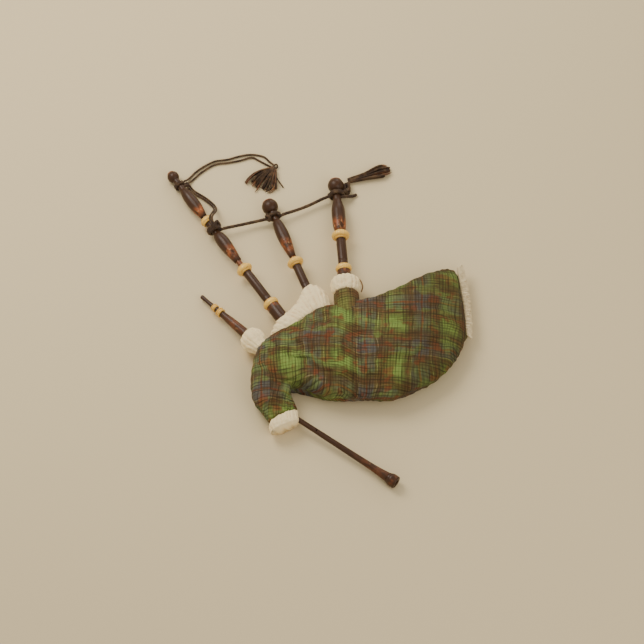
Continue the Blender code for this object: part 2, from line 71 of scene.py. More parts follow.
# Sections of the bag: one side, the other side, height of the seam, rise to the top, depth of the underside.
BAG = (
    ((-139, -311), (-64, -274), 33, 31, 30),
    ((-165, -275), (-74, -240), 35, 34, 40),
    ((-186, -245), (-81, -214), 38, 38, 50),
    ((-196, -204), (-80, -198), 41, 42, 56),
    ((-193, -158), (-50, -204), 44, 46, 62),
    ((-184, -115), (-18, -221), 47, 50, 68),
    ((-172, -81), (18, -236), 50, 53, 72),
    ((-140, -48), (50, -243), 50, 54, 72),
    ((-95, -21), (85, -246), 50, 54, 72),
    ((-45, 14), (115, -245), 50, 54, 72),
    ((-5, 44), (145, -243), 50, 54, 72),
    ((50, 53), (178, -247), 50, 54, 72),
    ((105, 70), (215, -243), 50, 53, 72),
    ((155, 77), (255, -226), 49, 52, 70),
    ((205, 102), (292, -206), 48, 50, 66),
    ((255, 130), (328, -182), 47, 46, 60),
    ((305, 157), (358, -156), 46, 41, 52),
    ((345, 172), (382, -124), 45, 34, 42),
    ((372, 175), (400, -91), 45, 27, 32),
    ((386, 169), (410, -56), 44, 18, 22),
    ((393, 160), (415, -40), 42, 8, 10),
    ((395, 161), (417, -41), 41, 2, 2),
)

# Sections of the white edges. The trim: its outer side, its side at the bag, half its thickness. The band and the
# fringe: one side, the other side, height of the middle, half the thickness.
FRONT_TRIM = (
    ((-141, -36), (-133, -41), 7),
    ((-131, -14), (-110, -28), 22),
    ((-121, 6), (-90, -12), 29),
    ((-105, 21), (-71, 3), 31),
    ((-88, 36), (-54, 15), 31),
    ((-70, 59), (-39, 26), 31),
    ((-56, 84), (-26, 37), 31),
    ((-47, 108), (-14, 46), 31),
    ((-25, 122), (-1, 53), 31),
    ((0, 114), (14, 57), 27),
    ((22, 90), (28, 60), 12),
)
TRIM_HEIGHT = 45
NECK_BAND = (
    ((-140.2, -314.3), (-63.2, -275.3), 33, 30),
    ((-143, -330), (-60, -292), 33, 32),
    ((-137, -343), (-57, -308), 32, 29),
)
BACK_FRINGE = (
    ((396, 182), (408, 197), 40, 4),
    ((399, 154), (417, 166), 38, 8),
    ((405, 112), (427, 116), 36, 9),
    ((411, 62), (433, 62), 36, 9),
    ((416, 10), (436.4, 9), 36, 9),
    ((419, -30), (435, -46), 38, 4),
)

# Outlines of the ruffs: radius and height.
BLOWPIPE_RUFF = (
    (17.4, -43), (25, -43), (27, -34), (31, -22), (35, -10), (36.5, 0), (33, 14), (24, 24), (17.4, 20),
)
OUTER_TENOR_RUFF = (
    (20.2, -83), (33, -84), (37.5, -78), (41.5, -66), (42.5, -51), (39, -41), (31, -36), (20.2, -37),
)

# The cover's two panels are cut from different places of the check.
UPPER_PANEL_SHIFT = (34, 58)
LOWER_PANEL_SHIFT = (61, 37)

# Routes of the free cords.
WEST_SPAN = (
    (-278.5, 316, 30), (-266, 321, 28), (-229, 332, 24), (-181, 345, 22), (-160, 349, 25), (-148, 350, 27),
)
EAST_SPAN = ((-109, 362.3, 27), (-98, 369, 25), (-65, 383, 21), (-29, 400, 19), (7, 418, 22), (28, 425, 27))
TAIL = ((71.5, 424, 27), (84, 430, 17), (95, 436, 7), (108, 443, 5))
TASSEL_STRING = ((75, 443, 27), (80.5, 450, 18), (82.5, 460, 11), (82, 470, 8.5))
TASSEL_CORD_UPPER = (
    (-388, 479, 20), (-382, 488, 9), (-372, 500, 3.5), (-356, 518, 3.5), (-330, 538, 3.5), (-301, 553, 3.5),
    (-265, 559, 3.5), (-229, 570, 3.5), (-196, 575, 3.5), (-162, 568, 3.5), (-145, 552, 3.5), (-134, 542, 4),
)
TASSEL_CORD_LOWER = (
    (-383.5, 472, 20), (-376, 479, 9), (-365, 491, 3.5), (-349, 508, 3.5), (-325, 528, 3.5), (-298, 543, 3.5),
    (-264, 548, 3.5), (-231, 555, 3.5), (-197, 565, 3.5), (-178, 557, 3.5), (-160, 546, 3.5), (-139, 534, 4),
)
SIDE_CORD = (
    (-379, 466, 19), (-366, 453, 9), (-350, 442, 6.5), (-332, 430, 6.5), (-314, 414, 7), (-302, 396, 14),
    (-300, 378, 28), (-306, 359, 44), (-311, 344, 51), (-309, 328, 53.5), (-303, 315, 54),
)

# Sections of the tassels, from the knot to the ends: one side, the other side, height, half the thickness.
WEST_TASSEL = (
    ((-134, 530), (-124, 522), 8, 6),
    ((-165, 523), (-122, 497), 9, 8),
    ((-196, 508), (-120, 472), 9, 8),
    ((-218, 485), (-122, 452), 7, 6),
    ((-217, 466), (-150, 439), 5, 4),
)
EAST_TASSEL = (
    ((80, 492), (85, 479), 8, 6),
    ((128, 512), (134, 488), 10, 8),
    ((170, 541), (180, 495), 10, 9),
    ((198, 537), (207, 507), 7, 6),
)

# Colours that several materials share.
BROWN_BLACK = (0.040, 0.017, 0.007)
WOOD_STREAK = (0.080, 0.034, 0.014)
# Painted reddish shine and pale painted glints on the wood.
WOOD_PAINTED_SHINE = (0.30, 0.085, 0.024)
WOOD_PAINTED_GLINT = (0.62, 0.34, 0.15)
# Reddish wood of the ring caps, which also stands for a painted red-brown highlight on the bells.
RED_CAP_AND_PAINTED_HIGHLIGHT = (0.25, 0.06, 0.028)
HORN = (0.78, 0.43, 0.06)
HORN_PALE = (0.88, 0.56, 0.13)
# Painted amber shade near the mounts' seats.
HORN_PAINTED_SHADE = (0.50, 0.23, 0.04)
CREAM = (1.0, 0.805, 0.47)
CREAM_SHADE = (0.74, 0.48, 0.24)
CORD_DARK = (0.030, 0.017, 0.010)
CORD_OLIVE = (0.11, 0.065, 0.03)
THREAD_LIT = (0.34, 0.15, 0.06)


# --- camera, light and floor -----------------------------------------------------------------------------------------


def make_stage():
    """A long lens at the photograph's angle, soft studio light and the floor."""
    aim, distance, elevation = Vector((0.007, 0.03, 0)), 20.4, radians(62)
    data = bpy.data.cameras.new("camera")
    data.lens, data.sensor_width = 400, 36
    camera = bpy.data.objects.new("camera", data)
    camera.location = aim + distance * Vector((0, -cos(elevation), sin(elevation)))
    camera.rotation_euler = (pi / 2 - elevation, 0, 0)
    bpy.context.collection.objects.link(camera)
    bpy.context.scene.camera = camera

    lights = (
        ("key", (-1.6, 1.5, 2.6), 1.8, 80, (1, 0.955, 0.87)),
        ("fill", (2.2, -1.6, 2.4), 2.4, 34, (1, 0.965, 0.9)),
        ("rim", (0.6, 2.6, 1.2), 1.4, 14, (1, 0.97, 0.92)),
    )
    for name, place, size, power, colour in lights:
        data = bpy.data.lights.new(name, "AREA")
        data.size, data.energy, data.color = size, power, colour
        light = bpy.data.objects.new(name, data)
        light.location = place
        light.rotation_euler = (-Vector(place)).to_track_quat("-Z", "Y").to_euler()
        bpy.context.collection.objects.link(light)
    world = bpy.data.worlds.new("studio")
    world.use_nodes = True
    world.node_tree.nodes["Background"].inputs["Color"].default_value = (1, 0.965, 0.89, 1)
    world.node_tree.nodes["Background"].inputs["Strength"].default_value = 0.64
    bpy.context.scene.world = world

    mesh = bpy.data.meshes.new("floor")
    bm = bmesh.new()
    bmesh.ops.create_grid(bm, x_segments=1, y_segments=1, size=6)
    bm.to_mesh(mesh)
    bm.free()
    floor = bpy.data.objects.new("floor", mesh)
    floor.location.z = -FLOOR_DROP
    floor.data.materials.append(Shade("floor_cloth").finished((0.72, 0.585, 0.35), 0.95))
    bpy.context.collection.objects.link(floor)


# --- materials -------------------------------------------------------------------------------------------------------


class Shade:
    """A material's node tree, with short calls for the few kinds of node that the looks need."""

    def __init__(self, name):
        self.material = bpy.data.materials.new(name)
        self.material.use_nodes = True
        self.tree = self.material.node_tree
        self.shader = self.tree.nodes["Principled BSDF"]

    def put(self, socket, value):
        if isinstance(value, bpy.types.NodeSocket):
            self.tree.links.new(value, socket)
        elif hasattr(value, "__len__") and socket.type == "RGBA":
            socket.default_value = (*value, 1)
        else:
            socket.default_value = value

    def node(self, kind, inputs, **settings):
        made = self.tree.nodes.new("ShaderNode" + kind)
        for name, value in settings.items():
            setattr(made, name, value)
        for name, value in inputs.items():
            self.put(made.inputs[name], value)
        return made

    def place(self, scale=(1, 1, 1)):
        coords = self.node("TexCoord", {}).outputs["Object"]
        return self.node("Mapping", {"Vector": coords, "Scale": scale}).outputs["Vector"]

    def stored(self, name, scale=(1, 1, 1)):
        coords = self.node("Attribute", {}, attribute_name=name).outputs["Vector"]
        return self.node("Mapping", {"Vector": coords, "Scale": scale}).outputs["Vector"]

    def noise(self, vector, scale, detail=3, roughness=0.5):
        inputs = {"Vector": vector, "Scale": scale, "Detail": detail, "Roughness": roughness}
        return self.node("TexNoise", inputs).outputs["Fac"]

    def math(self, operation, a, b=0.0):
        return self.node("Math", {0: a, 1: b}, operation=operation).outputs[0]

    def vectors(self, operation, output, inputs):
        return self.node("VectorMath", inputs, operation=operation).outputs[output]

    def limits(self, value, low, high, to_low=0.0, to_high=1.0):
        inputs = {"Value": value, "From Min": low, "From Max": high, "To Min": to_low, "To Max": to_high}
        return self.node("MapRange", inputs, interpolation_type="SMOOTHSTEP").outputs["Result"]

    def mix(self, share, a, b, blend="MIX"):
        return self.node("Mix", {0: share, 6: a, 7: b}, data_type="RGBA", blend_type=blend).outputs[2]

    def ramp(self, value, stops, interpolation="LINEAR"):
        made = self.node("ValToRGB", {"Fac": value})
        elements = made.color_ramp.elements
        made.color_ramp.interpolation = interpolation
        while len(elements) < len(stops):
            elements.new(0.5)
        for element, (position, colour) in zip(elements, stops):
            element.position, element.color = position, (*colour, 1)
        return made.outputs["Color"]

    def times(self, a, b):
        return self.math("MULTIPLY", a, b)

    def plus(self, a, b):
        return self.math("ADD", a, b)

    def finished(self, colour, roughness, bump=None, others=None):
        """The material, with the shader's values set. A bump is a height, a distance and a strength."""
        values = {"Base Color": colour, "Roughness": roughness, **(others or {})}
        if bump:
            made = self.node("Bump", dict(zip(("Height", "Distance", "Strength"), bump)))
            values["Normal"] = made.outputs["Normal"]
        for name, value in values.items():
            self.put(self.shader.inputs[name], value)
        return self.material


def wood(name, painted_shine_at=None, painted_shine_half=20, painted_shine=0.0, dark=BROWN_BLACK, streak=WOOD_STREAK):
    """Polished dark hardwood with its grain along Z. Near a height it shows reddish patches of painted shine with pale
    painted glints.
    """
    shade = Shade(name)
    grain = shade.noise(shade.place((90, 90, 7)), 4, 6, 0.6)
    between = tuple(0.6 * d + 0.4 * s for d, s in zip(dark, streak))
    colour = shade.ramp(grain, [(0.35, dark), (0.55, between), (0.72, streak)])
    if painted_shine_at is not None:
        height = shade.node("SeparateXYZ", {0: shade.place()}).outputs["Z"]
        away = shade.math("ABSOLUTE", shade.math("SUBTRACT", height, painted_shine_at * MM))
        near = shade.limits(away, 0, painted_shine_half * MM, painted_shine, 0)
        # Painted light: reddish patches of painted shine round the height, with pale painted glints among them.
        patches = shade.limits(shade.noise(shade.place((1, 1, 0.45)), 95, 3), 0.36, 0.58)
        colour = shade.mix(shade.times(near, patches), colour, WOOD_PAINTED_SHINE)
        painted_light = shade.limits(shade.noise(shade.place((1, 1, 0.8)), 150, 2), 0.6, 0.68)
        colour = shade.mix(shade.times(shade.times(near, painted_light), 0.5), colour, WOOD_PAINTED_GLINT)
    roughness = shade.limits(shade.noise(shade.place((30, 30, 8)), 6, 3), 0.3, 0.7, 0.3, 0.46)
    pores = shade.noise(shade.place((160, 160, 14)), 6, 4)
    polish = {"Specular IOR Level": 0.22, "Coat Weight": 0.07, "Coat Roughness": 0.12}
    return shade.finished(colour, roughness, (pores, 0.00012, 0.5), polish)


def horn(name, seat, rim):
    """Yellowed imitation ivory: streaks across the ring, pale at the rim and darkened with painted amber shade near
    the seat.
    """
    shade = Shade(name)
    streaks = shade.noise(shade.place((1, 1, 0.12)), 420, 4, 0.6)
    colour = shade.ramp(streaks, [(0.34, HORN), (0.62, HORN_PALE)])
    # Painted shade: amber darkening near the seat, where the ring meets the wood, fading towards the rim.
    flat = shade.vectors("LENGTH", "Value", {0: shade.place((1, 1, 0))})
    painted_seat_shade = shade.limits(flat, seat * MM, (0.35 * seat + 0.65 * rim) * MM, 1, 0)
    colour = shade.mix(shade.times(painted_seat_shade, 0.8), colour, HORN_PAINTED_SHADE)
    waxy = {"Subsurface Weight": 0.12, "Subsurface Radius": (0.005, 0.003, 0.001)}
    waxy |= {"Specular IOR Level": 0.4, "Coat Weight": 0.12}
    return shade.finished(colour, shade.limits(streaks, 0.3, 0.7, 0.22, 0.36), (streaks, 0.00025, 0.5), waxy)


def white_wool(name, pale=CREAM, fold_shade_and_fibre_tone=CREAM_SHADE):
    """Gathered cream wool: pale on the crowns and darkened with painted shade in the folds, which its stored height
    gives.
    """
    shade = Shade(name)
    crown = shade.node("Attribute", {}, attribute_name="crown").outputs["Fac"]
    patches = shade.noise(shade.place(), 38, 3)
    fibres = shade.noise(shade.place(), 900, 3, 0.7)
    # Painted shade: the folds, where the stored crown is low, take the shade tone; a few fine fibres take it as darker
    # fibres.
    painted_light = shade.limits(shade.plus(crown, shade.times(patches, 0.5)), 0.15, 0.65, 0.6, 0)
    colour = shade.mix(painted_light, pale, fold_shade_and_fibre_tone)
    colour = shade.mix(shade.limits(fibres, 0.35, 0.65, 0, 0.14), colour, fold_shade_and_fibre_tone)
    nap = shade.plus(fibres, shade.times(shade.noise(shade.place(), 300, 2), 2))
    woolly = {"Specular IOR Level": 0.2, "Sheen Weight": 0.03}
    woolly |= {"Subsurface Weight": 0.12, "Subsurface Radius": (0.003, 0.0025, 0.002)}
    return shade.finished(colour, 0.93, (nap, 0.0009, 0.7), woolly)


def tartan(name, green=1.0):
    """A woven check. Its coordinates are stored on the mesh, in metres of cloth along the warp and the weft."""
    bright, moss, olive = (0.20, 0.30, 0.06), (0.115, 0.14, 0.034), (0.095, 0.066, 0.022)
    slate, red, brown, yellow = (0.10, 0.092, 0.08), (0.20, 0.048, 0.024), (0.15, 0.062, 0.024), (0.42, 0.32, 0.12)
    straw, peat, grass, rusty = (0.28, 0.22, 0.07), (0.10, 0.052, 0.016), (0.20, 0.30, 0.065), (0.22, 0.055, 0.02)
    painted_side_shade, tan, ink, soot = (0.045, 0.028, 0.006), (0.17, 0.10, 0.036), (0.028, 0.018, 0.007), (0.026, 0.016, 0.006)
    sett = (
        (0.0, bright), (0.13, moss), (0.19, olive), (0.225, brown), (0.25, olive), (0.275, yellow), (0.288, slate),
        (0.425, red), (0.46, slate), (0.6, olive), (0.64, yellow), (0.652, olive), (0.69, brown), (0.73, olive),
        (0.78, moss), (0.84, bright),
    )
    repeat, twill_pitch, grid_pitch = 0.152, 0.0021, 0.0083
    shade = Shade(name)

    def cloth_noise(scale, detail=2, roughness=0.5, stretch=(1, 1, 1)):
        return shade.noise(shade.stored("cloth", stretch), scale, detail, roughness)

    plain = shade.stored("cloth")
    left = shade.limits(shade.node("SeparateXYZ", {0: plain}).outputs["X"], 0.074, 0.163, -0.033, 0)
    plain = shade.vectors("ADD", "Vector", {0: plain, 1: shade.node("CombineXYZ", {"Y": left}).outputs[0]})
    sway = shade.node("TexNoise", {"Vector": plain, "Scale": 9, "Detail": 2}).outputs["Color"]
    sway = shade.vectors("SUBTRACT", "Vector", {0: sway, 1: (0.5, 0.5, 0.5)})
    sway = shade.vectors("SCALE", "Vector", {0: sway, "Scale": 0.026})
    cloth = shade.vectors("ADD", "Vector", {0: plain, 1: sway})
    axes, straight = shade.node("SeparateXYZ", {0: cloth}), shade.node("SeparateXYZ", {0: plain})
    stripes = []
    for axis, shift in (("X", 0.053), ("Y", 0.117)):
        along = shade.math("DIVIDE", shade.plus(axes.outputs[axis], shift + 10 * repeat), repeat)
        stripes.append(shade.ramp(shade.math("FRACT", along), sett, "CONSTANT"))
    diagonal = shade.plus(axes.outputs["X"], axes.outputs["Y"])
    twill = shade.math("SINE", shade.times(diagonal, tau / twill_pitch))
    broad = shade.limits(cloth_noise(24), 0.35, 0.65, -0.3, 0.3)
    colour = shade.mix(shade.plus(shade.limits(twill, -0.8, 0.8, 0.3, 0.7), broad), *stripes)
    colour = shade.mix(0.45, colour, shade.mix(1, *stripes, blend="DARKEN"))
    warp_streak = cloth_noise(210, 2, 0.7, (1, 0.045, 1))
    weft_streak = cloth_noise(210, 2, 0.7, (0.045, 1, 1))
    streak = shade.plus(warp_streak, weft_streak)
    colour = shade.mix(shade.limits(streak, 0.98, 0.72, 0.0, 0.3), colour, straw)
    patches = cloth_noise(12, 3, stretch=(1, 1.4, 1))
    colour = shade.mix(shade.limits(patches, 0.5, 0.6, 0, 0.6), colour, peat)
    colour = shade.mix(shade.limits(patches, 0.46, 0.36, 0, 0.5 * green), colour, grass)
    colour = shade.mix(shade.limits(cloth_noise(24, stretch=(1, 1.2, 1)), 0.55, 0.66, 0, 0.6), colour, rusty)
    # Painted shade: the cloth darkens towards +X, over the bag's right side.
    far = shade.node("SeparateXYZ", {0: shade.place()}).outputs["X"]
    colour = shade.mix(shade.limits(far, 0.16, 0.34, 0, 0.36 * green), colour, painted_side_shade)
    colour = shade.mix((1 - green) * 0.8, colour, tan)
    for axis, uneven in (("X", warp_streak), ("Y", weft_streak)):
        line = shade.math("SINE", shade.times(straight.outputs[axis], tau / grid_pitch))
        line = shade.times(shade.limits(line, -0.1, 1.0), shade.limits(uneven, 0.36, 0.62, 0.08, 0.62))
        colour = shade.mix(line, colour, ink)
        colour = shade.mix(shade.limits(uneven, 0.56, 0.66, 0.0, 0.5), colour, soot)
    weave = shade.plus(shade.times(twill, 0.35), streak)
    return shade.finished(colour, 0.9, (weave, 0.0006, 0.75), {"Specular IOR Level": 0.2, "Sheen Weight": 0.03})


def cord_cloth(name, dark=CORD_DARK, lit=CORD_OLIVE):
    """Dark wool cord with paler fibres."""
    shade = Shade(name)
    fibres = shade.noise(shade.place(), 1100, 3, 0.7)
    patches = shade.noise(shade.place(), 60, 3)
    colour = shade.mix(shade.limits(patches, 0.42, 0.66, 0, 0.8), dark, lit)
    colour = shade.mix(shade.limits(fibres, 0.48, 0.72, 0, 0.36), colour, THREAD_LIT)
    return shade.finished(colour, 0.78, (fibres, 0.0006, 0.8), {"Specular IOR Level": 0.25, "Sheen Weight": 0.06})


def grained(name, dark, light, scale, roughness):
    """Hide, cane or waxed thread, for the pieces that lie inside."""
    shade = Shade(name)
    pattern = shade.noise(shade.place(scale), 8, 4, 0.6)
    return shade.finished(shade.ramp(pattern, [(0.35, dark), (0.65, light)]), roughness, (pattern, 0.0004, 0.6))


# --- meshes ----------------------------------------------------------------------------------------------------------


def pipe_matrix(pipe):
    """The frame of a pipe: Z along its axis, from where it leaves the bag."""
    foot, end = (Vector(point) * MM for point in PIPES[pipe])
    turn = (end - foot).to_track_quat("Z", "Y")
    return Matrix.Translation(foot) @ turn.to_matrix().to_4x4()


def add(name, mesh, material, body, nodes=(), matrix=None, sharp=40):
    """A piece that rides on a body, and stands for any CAD nodes given."""
    mesh.materials.append(material)
    mesh.shade_smooth()
    mesh.set_sharp_from_angle(angle=radians(sharp))
    obj = bpy.data.objects.new(name, mesh)
    if matrix:
        obj.matrix_world = matrix
    bpy.context.collection.objects.link(obj)
    if nodes:
        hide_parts(*nodes)
    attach(obj, body)
    return obj


def unit(vectors):
    return vectors / np.linalg.norm(vectors, axis=-1, keepdims=True)


def distances(points):
    """How far along a line each of its points lies."""
    return np.concatenate([[0], np.cumsum(np.linalg.norm(np.diff(points, axis=0), axis=1))])


def circle(steps):
    return np.linspace(0, tau, steps, endpoint=False)


def turned_rows(profile, steps):
    """A ring of points round Z for each (radius, height) of a profile."""
    return [[(r * cos(a), r * sin(a), h) for a in circle(steps)] for r, h in profile]


def closed_mesh(name, points, faces):
    """A mesh of points in millimetres, with its faces turned outwards."""
    mesh = bpy.data.meshes.new(name)
    mesh.from_pydata((points.reshape(-1, 3) * MM).tolist(), [], faces)
    bm = bmesh.new()
    bm.from_mesh(mesh)
    bmesh.ops.recalc_face_normals(bm, faces=bm.faces)
    bm.to_mesh(mesh)
    bm.free()
    return mesh


def grid_mesh(name, rows, wrap_rows=False):
    """Quads between rings of equal length, in millimetres, with a face at each end unless the rows wrap round."""
    rows = np.asarray(rows, float)
    count, around = rows.shape[:2]
    index = np.arange(count * around).reshape(count, around)
    near = index if wrap_rows else index[:-1]
    far = np.roll(index, -1, axis=0) if wrap_rows else index[1:]
    quads = np.stack([near, np.roll(near, -1, axis=1), np.roll(far, -1, axis=1), far], axis=-1).reshape(-1, 4)
    faces = quads.tolist()
    if not wrap_rows:
        faces += [index[0][::-1].tolist(), index[-1].tolist()]
    return closed_mesh(name, rows, faces)


def rounded(profile):
    """A closed profile with each corner rounded. A point's third number says how far its curve may reach."""
    crisp = 0.7
    points = [np.array(p[:2], float) for p in profile]
    reach = [p[2] if len(p) > 2 else crisp for p in profile]
    made = []
    for i, here in enumerate(points):
        before, after = points[i - 1] - here, points[(i + 1) % len(points)] - here
        lengths = np.linalg.norm(before), np.linalg.norm(after)
        room = min(reach[i], 0.49 * lengths[0], 0.49 * lengths[1])
        first, last = here + before / lengths[0] * room, here + after / lengths[1] * room
        steps = 2 if room < 0.3 else 3 if room < 1.5 else 6
        for step in range(steps + 1):
            t = step / steps
            made.append((1 - t) ** 2 * first + 2 * t * (1 - t) * here + t**2 * last)
    return made


def turned_mesh(name, profile, steps=72):
    """A profile of (radius, height) points turned round Z: a closed loop off the axis."""
    return grid_mesh(name, turned_rows(rounded(profile), steps), wrap_rows=True)


def soft(points, reach=40):
    """Profile points whose corners are rounded as far as their neighbours allow."""
    return [(r, h, reach) for r, h in points]


def ball(radius, middle, top_radius, bottom_radius):
    """Profile points down a ball, cut off at a radius above and below."""
    count = 16
    first = asin(top_radius / radius)
    last = pi - asin(bottom_radius / radius)
    angles = [first + (last - first) * i / (count - 1) for i in range(count)]
    return [(radius * sin(a), middle + radius * cos(a)) for a in angles]


def scribed(radius, high, low, lines):
    """Points down a turned side, with a fine groove at each height in lines."""
    points = [(radius, high)]
    for height in sorted(lines, reverse=True):
        points += [(radius, height + 0.55, 0.2), (radius - 0.5, height, 0.2), (radius, height - 0.55, 0.2)]
    return [*points, (radius, low)]


def resampled(rows, per_span):
    """Rows of numbers along a Catmull-Rom curve through the given ones."""
    rows = np.asarray(rows, float)
    ends = np.vstack([2 * rows[0] - rows[1], rows, 2 * rows[-1] - rows[-2]])
    made = []
    for a, b, c, d in zip(ends, ends[1:], ends[2:], ends[3:]):
        for t in np.arange(per_span) / per_span:
            made.append(
                (2 * b + (c - a) * t + (2 * a - 5 * b + 4 * c - d) * t**2 + (3 * b - a - 3 * c + d) * t**3) / 2
            )
    return np.array([*made, rows[-1]])


def half_ring(one, other, height, lift, count):
    """Evenly spaced points of an upright half section from one side to the other, and its length."""
    angle = np.linspace(0, pi, 61)
    power = FULLNESS if lift > 0 else 1
    across = np.sign(np.cos(angle)) * np.abs(np.cos(angle)) ** power
    z = np.maximum(CLEARANCE, height + lift * np.sin(angle) ** power)
    middle, half = (one + other) / 2, (one - other) / 2
    points = np.column_stack([middle + np.outer(across, half), z])
    run = distances(points)
    even = np.linspace(0, run[-1], count + 1)
    return np.column_stack([np.interp(even, run, points[:, k]) for k in range(3)]), run[-1]


def vertex_values(mesh, normals=False):
    """Each vertex's place, in metres, or its normal."""
    values = np.empty(len(mesh.vertices) * 3)
    if normals:
        mesh.vertex_normals.foreach_get("vector", values)
    else:
        mesh.vertices.foreach_get("co", values)
    return values.reshape(-1, 3)


def displaced(mesh, heights, crowns):
    """Moves each vertex along its normal by a height in millimetres, and stores its crown for the material."""
    moved = vertex_values(mesh) + vertex_values(mesh, normals=True) * heights[:, None] * MM
    mesh.vertices.foreach_set("co", moved.ravel())
    mesh.attributes.new("crown", "FLOAT", "POINT").data.foreach_set("value", crowns)
    mesh.update()


def keep_above_rest(mesh):
    """Lifts each vertex that lies below the surface that the pipes rest on, for a mesh in the model's frame."""
    points = vertex_values(mesh)
    points[:, 2] = np.maximum(points[:, 2], CLEARANCE * MM)
    mesh.vertices.foreach_set("co", points.ravel())


def lumps(points, size, seed):
    """Smooth noise at points in millimetres, from about -1 to 1."""
    return np.array([noise.noise(Vector(p) / size + Vector((seed, 2.3 * seed, 0.7))) for p in points])


def wool(mesh, crowns, depth, seed):
    """Gathers and tufts of wool: crowns run from 0 in a fold to 1 on its crown."""
    points = np.array([v.co for v in mesh.vertices]) / MM
    big, small = lumps(points, 11, seed), lumps(points, 3.2, seed + 5)
    heights = depth * (crowns - 0.75) + 2.2 * big + 1.1 * np.abs(small)
    displaced(mesh, heights, np.clip(crowns * 0.6 + 0.15 + 0.45 * big + 0.3 * small, 0, 1))


def gathers(count, steps, seed, share):
    """Crowns of a number of uneven gathers round a ring of steps points, weakened to a share."""
    angle = circle(steps)
    wander = 1.1 * np.sin(2 * angle + seed) + 0.8 * np.sin(5 * angle + 2 * seed) + 0.5 * np.sin(9 * angle + 3 * seed)
    crown = (0.5 + 0.5 * np.cos(count * angle + wander)) ** 0.6
    return 1 - share[:, None] * (1 - crown[None, :])


# --- turned pieces ---------------------------------------------------------------------------------------------------


def turned_piece(node, pipe, profile, finish, body, steps=72):
    """The turned piece that stands for a node, on a pipe's axis."""
    name = f"{node}_turned"
    return add(name, turned_mesh(name, profile, steps), finish, body, [node], pipe_matrix(pipe))


def make_stock(name, radius, top, bottom, bore, binding, spigot=0):
    """A stock, with the groove in which its binding lies and the spigot that holds its mount."""
    groove = radius - 2.2
    outer = [(spigot, top + 9), (spigot, top)] if spigot else []
    outer += [(radius, top - 0.3, 1.6), (radius, binding + 4), (groove, binding + 4)]
    outer += [(groove, binding - 4), (radius, binding - 4), (radius, bottom, 2)]
    profile = [*outer, (bore, bottom), (bore, top + 9 if spigot else top - 0.3)]
    finish = wood(f"{name}_stock_wood", top - 4, 14, 0.55)
    turned_piece(f"{name}_stock", name, profile, finish, "bag")


def make_stock_mount(name, bore):
    outer = [(bore, 11.5), (16.4, 11.5, 1.5), (18.2, 10.2, 1.2), (18, 8.8, 1), (21.6, 7.2, 2), (23.3, 3.4, 3)]
    outer += [(23.3, -0.8, 3), (22.2, -4.4, 2), (20.3, -5.4, 0.6), (20.6, -7.6, 0.8)]
    profile = [*outer, (17.3, -7.6), (17.3, 1.4), (bore, 1.4)]
    node = f"{name}_stock_mount"
    turned_piece(node, name, profile, horn(f"{node}_horn", 17, 23.3), "bag")


def make_mount(node, pipe, body, low, high, radius, seat):
    """A projecting mount: a broad rounded rim between two fine beads."""
    shape = [(seat + 3.4, 0, 0.8), (seat + 5, 0.05, 1), (seat + 5, 0.13, 0.8), (seat + 4.4, 0.17, 0.5)]
    shape += [(radius - 2.6, 0.23, 2.5), (radius, 0.4, 3)]
    shape += [(r, 1 - share, reach) for r, share, reach in reversed(shape)]
    outer = [(r, high - (high - low) * share, reach) for r, share, reach in shape]
    finish = horn(f"{node}_horn", seat, radius)
    turned_piece(node, pipe, [(seat, high), *outer, (seat, low)], finish, body, 96)


def make_lower(name, tube, tenon, start, mount_low, mount_high, pin, pin_top, mount_radius):
    """A drone's lower section, from its tenon to its tuning pin, with its mount."""
    seat, body = tube - 1.2, f"{name}_lower"
    outer = [(pin, pin_top, 1.2), (pin, mount_high + 0.2), (seat, mount_high), (seat, mount_low - 0.3)]
    lines = (mount_low - 4, mount_low - 6, start + 22, start + 24)
    outer += [*scribed(tube, mount_low - 0.5, start, lines), (tenon, start - 0.2), (tenon, start - 38, 1.2)]
    profile = [*outer, (AIR, start - 38), (AIR, pin_top)]
    finish = wood(f"{name}_lower_wood", mount_high + 12, 30, 0.9)
    turned_piece(f"{name}_lower", name, profile, finish, body)
    make_mount(f"{name}_mount", name, body, mount_low, mount_high, mount_radius, seat + 0.3)


def make_top(name, bell, middle, mouth_at, neck, outline, bore, bore_top, painted_shine_at, painted_shine_half=24):
    """A drone's top section, with its bell, its neck for the cord and its swelling body."""
    top_radius = sqrt(bell**2 - (mouth_at - middle) ** 2)
    body = soft(outline[2:-1])
    outer = [*soft(ball(bell, middle, top_radius, neck), 3), (*outline[0], 2), (*outline[1], 3), *body]
    outer.append((*outline[-1], 0.8))
    low = outline[-1][1]
    inner = [(bore, low), (bore, bore_top), (AIR, bore_top + 2), (AIR, mouth_at - 15, 2), (MOUTH, mouth_at - 11, 2)]
    # The top's painted shine and glints lie round this height.
    finish = wood(f"{name}_top_wood", painted_shine_at, painted_shine_half, 1.0)
    profile = [*outer, *inner, (MOUTH, mouth_at)]
    turned_piece(f"{name}_top", name, profile, finish, f"{name}_top", steps=96)
    low, rim = mouth_at + 0.3, top_radius - 0.5
    ring = [(MOUTH, low + 3.2, 1.2), (rim - 1.5, low + 3.2, 1.4), (rim, low + 1.5, 1), (rim, low), (MOUTH, low)]
    # The ring cap's reddish tone stands for a painted red-brown highlight at the bell's top.
    finish = wood(f"{name}_ring_cap_highlight_wood", dark=RED_CAP_AND_PAINTED_HIGHLIGHT, streak=(0.42, 0.14, 0.06))
    turned_piece(f"{name}_ring_cap", name, ring, finish, f"{name}_top")


